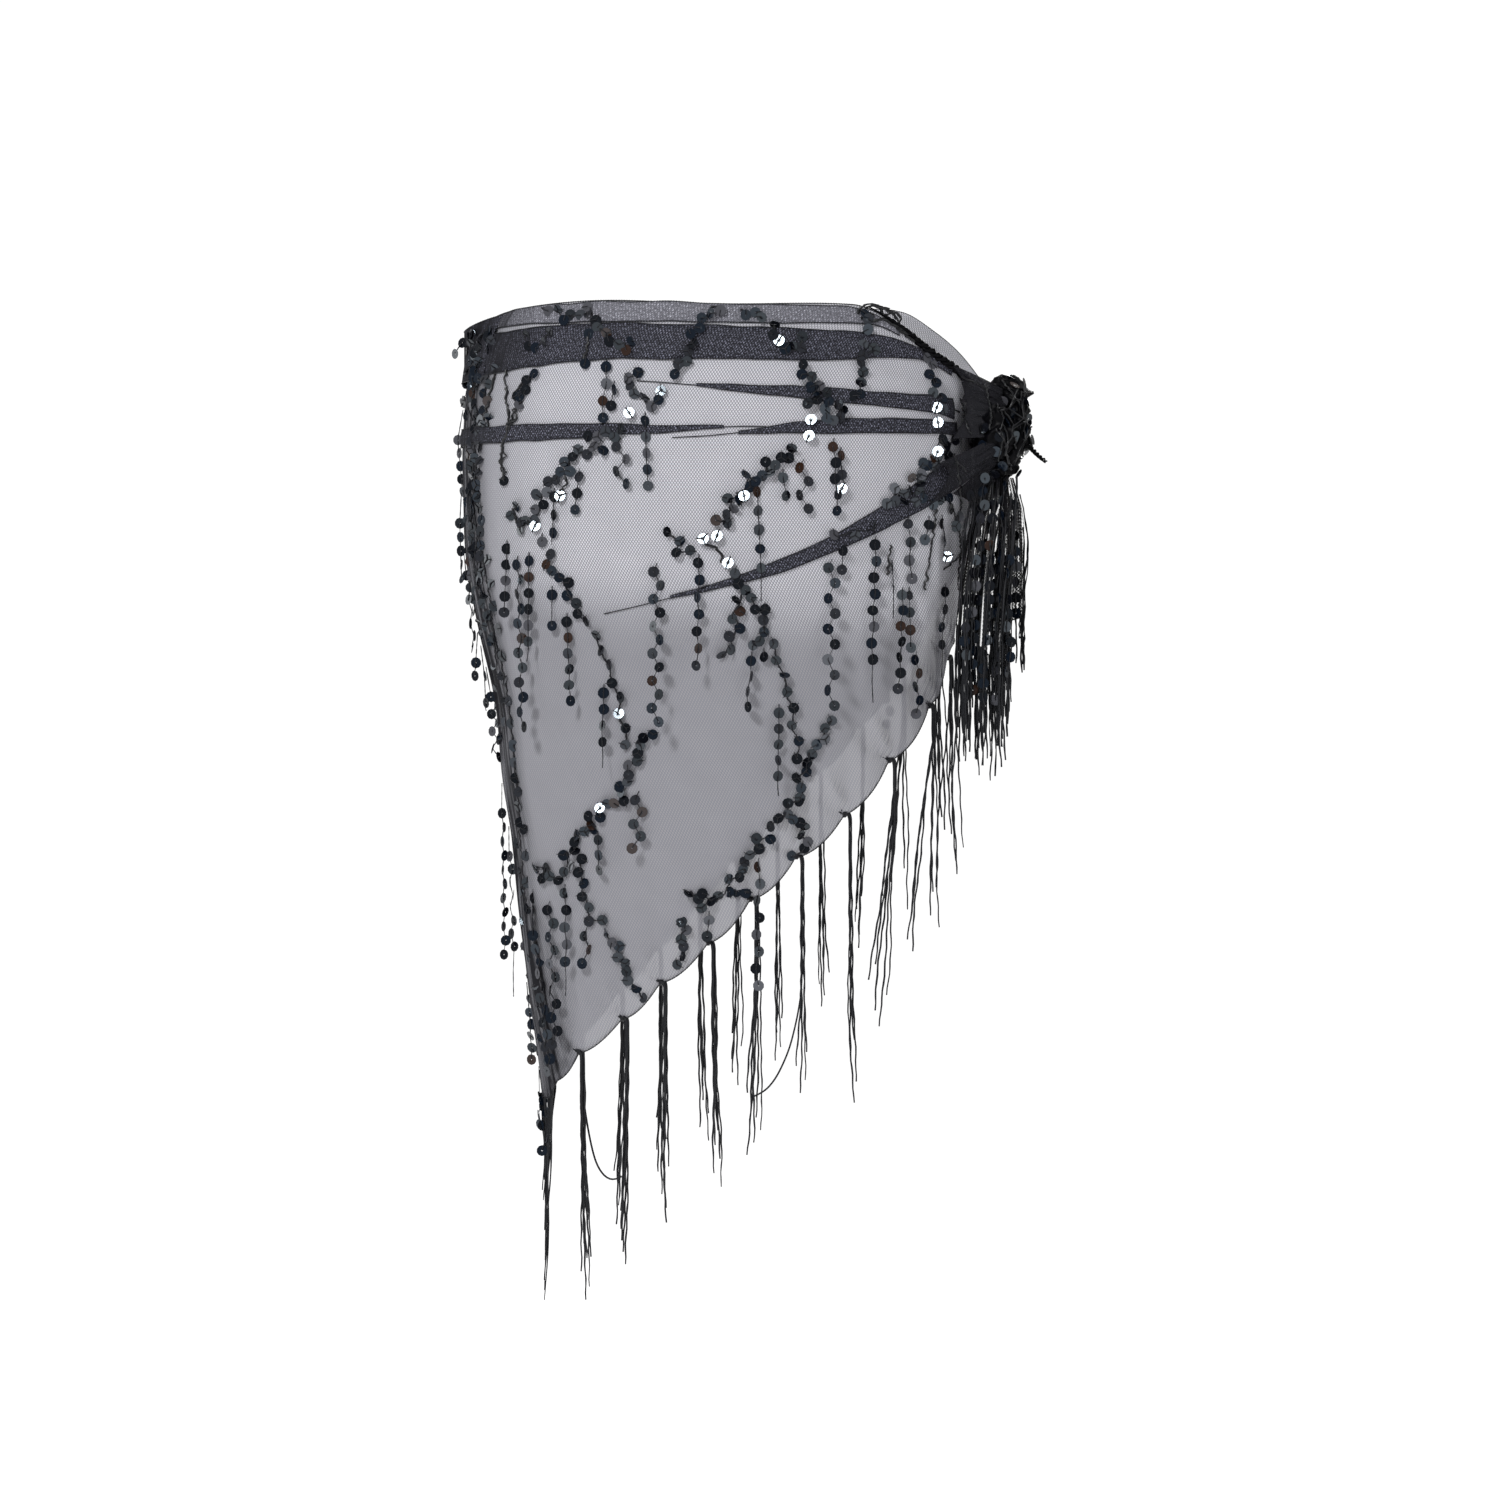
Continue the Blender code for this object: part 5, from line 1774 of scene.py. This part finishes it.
class Trim:
    """Collects the sequins and the threads of one side of the scarf."""

    def __init__(self, seed, far=False):
        self.draw = random.Random(seed)
        self.far = far
        self.sequins = []
        self.runs = []

    def mirrored(self, vector):
        return Vector((vector[0], -vector[1], vector[2])) if self.far else Vector(vector)

    def add(self, place, facing, up, tone=None, size=1.0):
        tone = self.draw.random() if tone is None else tone
        self.sequins.append((self.mirrored(place), self.mirrored(facing), self.mirrored(up), size, tone))

    def add_run(self, run, sizes):
        self.runs.append(([self.mirrored(p) for p in run], sizes))

    def reaches(self, angle, height, room):
        """Whether the net of this side reaches that far."""
        return covered(-angle if self.far else angle, height, room)

    def shows(self, px, py):
        """Whether this side has its sequins at a pixel. The far side keeps them off the outline."""
        return not self.far or within(px, py)

    def sew(self, px, py, stack, tone=None):
        """One sequin stitched flat to the net, tipped a little."""
        place, angle = see(px, py, SEWN_LIFT + BAND_LIFT_ROOM + stack)
        if px < CORNER_ACROSS and py < CORNER_DOWN and not self.far:
            place = in_front(px, py, SEWN_LIFT + stack, [bpy.data.objects["corner_fold"]]) or place
        if not self.shows(px, py) or not self.reaches(angle, place.z, SEWN_ROOM):
            return
        out = (outward(angle, place.z) + TOWARDS_VIEW * SEWN_TURN).normalized()
        facing = turned_about(out, "Z", self.draw.gauss(0, SEWN_YAW))
        side = facing.cross(UP)
        facing = turned_about(facing, side, self.draw.gauss(0, SEWN_TILT))
        up = turned_about(side, facing, self.draw.uniform(0, 360))
        self.add(place, facing, up, tone, self.draw.uniform(0.94, 1.05))
        for k in range(self.draw.choice((1, 1, 2, 3))):
            self.add_run(*stitch(place, facing, turned_about(up, facing, 120 * k)))

    def line(self, route, pitch, aside):
        """A sewn line, with its sequins to each side by turns and its chain of thread."""
        run = spaced(route, pitch)
        for k, (px, py) in enumerate(run):
            before, after = run[max(0, k - 1)], run[min(len(run) - 1, k + 1)]
            way = (after - before) / (np.linalg.norm(after - before) + 1e-6)
            shift = aside * (1 if k % 2 else -1) * self.draw.uniform(0.7, 1.5)
            if self.taken(px, py):
                continue
            stack = self.draw.uniform(0, 2.0) * MM * (1 if pitch < 10 else 0.4)
            sewn_x = px - way[1] * shift + self.draw.uniform(-1, 1)
            sewn_y = py + way[0] * shift + self.draw.uniform(-1, 1)
            self.sew(sewn_x, sewn_y, stack)
        places = []
        for px, py in spaced(route, CHAIN_STEP):
            chain_x, chain_y = [at + self.draw.uniform(-0.7, 0.7) for at in (px, py)]
            place, angle = see(chain_x, chain_y, CHAIN_LIFT + BAND_LIFT_ROOM)
            if self.shows(px, py) and self.reaches(angle, place.z, CHAIN_ROOM):
                places.append(place)
        if len(places) > 3:
            self.add_run(places, [self.draw.uniform(1.2, 2.7) for _ in places])

    def taken(self, px, py):
        return not self.far and any(math.hypot(px - x, py - y) < 6 for x, y in BRIGHT_SEQUINS)

    def string(self, x1, y1, x2, y2, pitch, swing, bare):
        """A string that hangs free from the net, with its sequins turned about it."""
        count = max(1, round((y2 - y1) / pitch) + 1)
        place, angle = see(x1, y1 - 9, 0.8 * MM)
        if not self.shows(x2, y2):
            return
        to_view = HUNG_TURN
        if not within(x1, y1):
            to_view = OUTER_TURN
            root = min(place.z + OUTER_ROOT_RISE, float(top_height(OUTER_ROOT_TURN)) - 4 * MM)
            place = Vector(hip_point(OUTER_ROOT_TURN, root, 1.0 * MM))
        elif not self.reaches(angle, place.z, STRING_ROOM):
            return
        yaw = self.draw.gauss(0, HUNG_YAW)
        run, sizes, away = [place], [1.0], -place.y
        for k in range(count):
            share = k / max(1, count - 1)
            px = x1 + (x2 - x1) * share + swing * (1 if k % 2 else -1)
            py = y1 + (y2 - y1) * share
            place, _ = see(px, py, HUNG_LIFT, away)
            away = max(away, -place.y - 0.5 * MM)
            yaw = 0.55 * yaw + self.draw.gauss(0, 27)
            out = (outward(angle, place.z) + TOWARDS_VIEW * to_view).normalized()
            facing = turned_about(out, "Z", yaw)
            facing = turned_about(facing, facing.cross(UP), self.draw.gauss(0, HUNG_TILT))
            run.append(place + facing * 0.35 * MM + Vector((0, 0, 0.2 * MM)))
            sizes.append(1.15)
            if not self.taken(px, py):
                self.add(place, facing, UP, None, self.draw.uniform(0.94, 1.04))
        if bare:
            for step in (0.5, 1.0):
                end, _ = see(px + self.draw.uniform(-1.5, 1.5), y2 + bare * step, HUNG_LIFT, away)
                run.append(end)
                sizes.append(0.8)
        points = spaced(run, STRING_STEP)
        self.add_run(points, [self.draw.uniform(0.8, 1.5) for _ in points])

    def finish(self, name, film):
        sewn_down(f"{name}_sequins", self.sequins, film)
        dress(threads(f"{name}_threads", self.runs, THREAD_RADIUS, EDGE_THREAD), "fringe_yarn")


def on_knot(trim, bunch):
    """Sequins and loose strings caught on the knot."""
    faces = [f for f in bunch.data.polygons if f.normal.dot(KNOT_OUT + TOWARDS_VIEW * 0.6) > 0]
    kept = []
    while len(kept) < KNOT_SEQUINS:
        face = trim.draw.choice(faces)
        if all((face.center - other).length > KNOT_SEQUIN_ROOM for other in kept):
            kept.append(face.center.copy())
            facing = turned_about(face.normal, "Z", trim.draw.gauss(0, KNOT_SEQUIN_YAW))
            trim.add(face.center + face.normal * KNOT_SEQUIN_LIFT_MM * MM, facing, Vector((0.3, 0, 1)))
    runs = []
    for _ in range(KNOT_STRINGS):
        start, end = [
            Vector([trim.draw.uniform(-1, 1) * reach for reach in KNOT_STRING_REACH]) for _ in range(2)
        ]
        run = []
        for step in range(KNOT_STRING_POINTS):
            share = step / (KNOT_STRING_POINTS - 1)
            aim = knot_place(*(start + (end - start) * share))
            aim = aim + KNOT_OUT * KNOT_STRING_STAND_MM * MM + TOWARDS_VIEW * KNOT_STRING_STAND_MM * MM
            _, spot, normal, _ = bunch.closest_point_on_mesh(aim)
            run.append(spot + normal * trim.draw.uniform(0.3, 1.6) * MM)
        runs.append((run, [trim.draw.uniform(1.2, 2.6) for _ in run]))
    return runs


# Chains of thread over the knot and the cloth beside it, in pixels of the photo.
KNOT_CHAINS = [
    [(961, 398), (963, 410), (966, 422), (971, 434)],
    [(985, 385), (989, 398), (992, 414), (989, 430)],
    [(962, 376), (971, 381), (979, 384), (986, 388)],
    [(940, 440), (949, 452), (958, 461), (966, 472)],
    [(958, 462), (961, 500), (960, 530), (961, 556), (958, 590)],
    [(944, 570), (955, 561), (964, 550), (970, 541)],
    [(1001, 380), (1011, 391), (1020, 403), (1027, 416)],
    [(1003, 424), (1009, 438), (1006, 452), (1012, 470)],
    [(936, 395), (944, 405), (951, 409), (960, 412)],
]
# The same, over the net.
NET_CHAINS = [
    [(505, 370), (506, 390), (508, 412), (508, 430), (502, 446), (500, 462), (504, 480)],
    [(524, 384), (518, 400), (513, 416), (508, 430)],
    [(494, 374), (490, 392), (486, 410), (484, 425)],
    [(563, 470), (567, 482), (560, 492), (553, 500)],
    [(706, 545), (716, 548), (722, 556), (722, 563)],
    [(735, 497), (742, 490), (747, 500), (738, 506)],
    [(516, 505), (513, 512), (518, 522)],
    [(936, 508), (933, 540), (930, 560), (925, 590)],
    [(891, 545), (889, 560), (888, 575)],
    [(586, 334), (588, 345), (584, 356), (583, 366)],
    [(858, 314), (861, 308), (869, 304), (878, 306), (887, 309), (896, 313), (900, 318), (899, 327),
     (903, 332)],
    [(861, 312), (867, 307), (874, 306), (883, 309), (892, 313), (898, 320), (902, 329), (908, 335)],
    [(862, 318), (872, 322), (884, 319), (895, 326), (905, 335), (915, 342)],
    [(880, 308), (884, 316), (892, 312)],
    [(522, 382), (517, 392), (521, 404), (513, 410), (517, 418), (508, 424)],
    [(500, 446), (506, 456), (499, 464), (506, 472), (501, 480)],
]
# Strings of sequins over the two hanging ends, as in the list of hanging strings.
TAIL_STRINGS = [
    (970, 495, 978, 511, 14), (984, 478, 979, 600, 13), (992, 505, 988, 640, 14),
    (975, 560, 972, 690, 13.5), (998, 540, 994, 700, 15), (985, 640, 984, 712, 14),
    (1003, 486, 1002, 560, 14), (1012, 505, 1017, 613, 14.5), (1013, 642, 1008, 672, 14),
    (966, 600, 965, 655, 15), (1009, 560, 1006, 640, 14),
]
TAIL_STRING_DEPTH = -0.080
TAIL_STRING_STAND = 2.2 * MM
CHAIN_STAND = 1.0 * MM


def below_knot(trim, pieces):
    """Strings and chains that hang over the knot, the cloth drawn into it and the two ends."""
    for x1, y1, x2, y2, pitch in TAIL_STRINGS:
        count = round((y2 - y1) / pitch) + 1
        run, depth = [], TAIL_STRING_DEPTH
        for k in range(count):
            share = k / max(1, count - 1)
            px = x1 + (x2 - x1) * share + trim.draw.uniform(-2, 2)
            py = y1 + (y2 - y1) * share
            place = in_front(px, py, TAIL_STRING_STAND, pieces) or at_depth(px, py, depth)
            depth = place.y
            facing = turned_about(TOWARDS_VIEW, "Z", trim.draw.gauss(0, TAIL_SEQUIN_YAW))
            trim.add(place, facing, UP)
            run.append(place + facing * 0.4 * MM)
        points = spaced(run, STRING_STEP)
        trim.add_run(points, [trim.draw.uniform(1.0, 2.2) for _ in points])
    runs = []
    for route in KNOT_CHAINS:
        run = []
        for px, py in spaced(route, ROUTE_STEP):
            place = in_front(px + trim.draw.uniform(-1.2, 1.2), py, CHAIN_STAND, pieces)
            if place:
                run.append(place)
        if len(run) > 3:
            runs.append((run, [trim.draw.uniform(1.5, 3.2) for _ in run]))
    for route in NET_CHAINS:
        run = []
        for px, py in spaced(route, ROUTE_STEP):
            run.append(see(px + trim.draw.uniform(-1.5, 1.5), py, HUNG_LIFT)[0])
        runs.append((run, [trim.draw.uniform(1.9, 3.8) for _ in run]))
    return runs


# The bright sequins stand off the net, and further past this pixel, where the cloth of the knot begins.
ON_NET_MM = 1.5
BY_KNOT_MM = 4.5
KNOT_SIDE = 900
BRIGHT_STITCH = 1.7


def bright(trim):
    """The sequins turned so that they send the main light to the viewing side, with a painted highlight in
    their colour.
    """
    for px, py in BRIGHT_SEQUINS:
        place, _ = see(px, py, HUNG_LIFT + (ON_NET_MM if px < KNOT_SIDE else BY_KNOT_MM) * MM)
        facing = (KEY_PLACE - place).normalized() + (CAMERA_PLACE - place).normalized()
        trim.add(place, facing, UP, PAINTED_HIGHLIGHT_TONE)
        first = trim.draw.uniform(-40, 40)
        for turn in trim.draw.choice(((0,), (0, 180), (0, 120, 240))):
            run, sizes = stitch(place, facing, turned_about(-UP, "Y", first + turn))
            trim.add_run(run, [BRIGHT_STITCH * s for s in sizes])


SLACK_YARNS = [
    [(583, 1075), (584, 1092), (590, 1130), (597, 1161), (606, 1175), (615, 1180), (623, 1172)],
    [(754, 1092), (764, 1090), (777, 1073), (789, 1046), (797, 1012), (801, 985)],
]


# The distance between points in pixels, how often they are smoothed, and the lowest level of the hips' shape.
SLACK_STEP = 4
SLACK_SMOOTHING = 12
SLACK_LEVEL = -0.47


def slack_yarns():
    """Two yarns of the fringe that hang in a loop from one tassel to the next."""
    runs = []
    for route in SLACK_YARNS:
        run = []
        points = spaced(route, SLACK_STEP)
        for _ in range(SLACK_SMOOTHING):
            points[1:-1] = (points[:-2] + 2 * points[1:-1] + points[2:]) / 4
        for px, py in points:
            across, height = on_photo(px, py)
            level = max(height, SLACK_LEVEL)
            inside = 1 - (across / half_width(level)) ** 2
            run.append(Vector((across, -half_depth(level) * math.sqrt(max(0.05, inside)), height)))
        runs.append((run, [1.0] * len(run)))
    dress(threads("slack_yarns", runs, YARN_RADIUS, YARN, sides=1), "fringe_yarn")


def sequins():
    film = sequin_material()
    near = Trim(31)
    far = Trim(47, far=True)
    along, down = FAR_SHIFT
    for route, pitch, aside in SEWN_LINES.values():
        near.line(route, pitch, aside)
        far.line([(px + along, py + down) for px, py in route], pitch, aside)
    for x1, y1, x2, y2, pitch, swing, bare in HUNG_STRINGS:
        near.string(x1, y1, x2, y2, pitch, swing, bare)
        if x1 > FAR_FROM:
            far.string(x1 + along, y1 + down, x2 + along, y2 + down, pitch, swing, bare)
    bright(near)
    bunch = bpy.data.objects["knot_bunch"]
    drawn_in = [bpy.data.objects[name] for name in (*ARMS, "back_tail_net", "front_tail_net", "net_wrap")]
    bpy.context.view_layer.update()
    chains = on_knot(near, bunch) + below_knot(near, [bunch, *drawn_in])
    dress(threads("knot_chains", chains, THREAD_RADIUS, SHINY_THREAD), "fringe_yarn")
    near.finish("near", film)
    far.finish("far", film)


camera()
studio()
bpy.context.scene.view_settings.view_transform = "Standard"
bpy.context.scene.cycles.transparent_max_bounces = 32
net_wrap()
bands()
corner_fold()
rolled_edge()
knot()
knot_arms()
tail("back_tail", random.Random(11))
tail("front_tail", random.Random(12))
tassels(random.Random(13))
slack_yarns()
sequins()
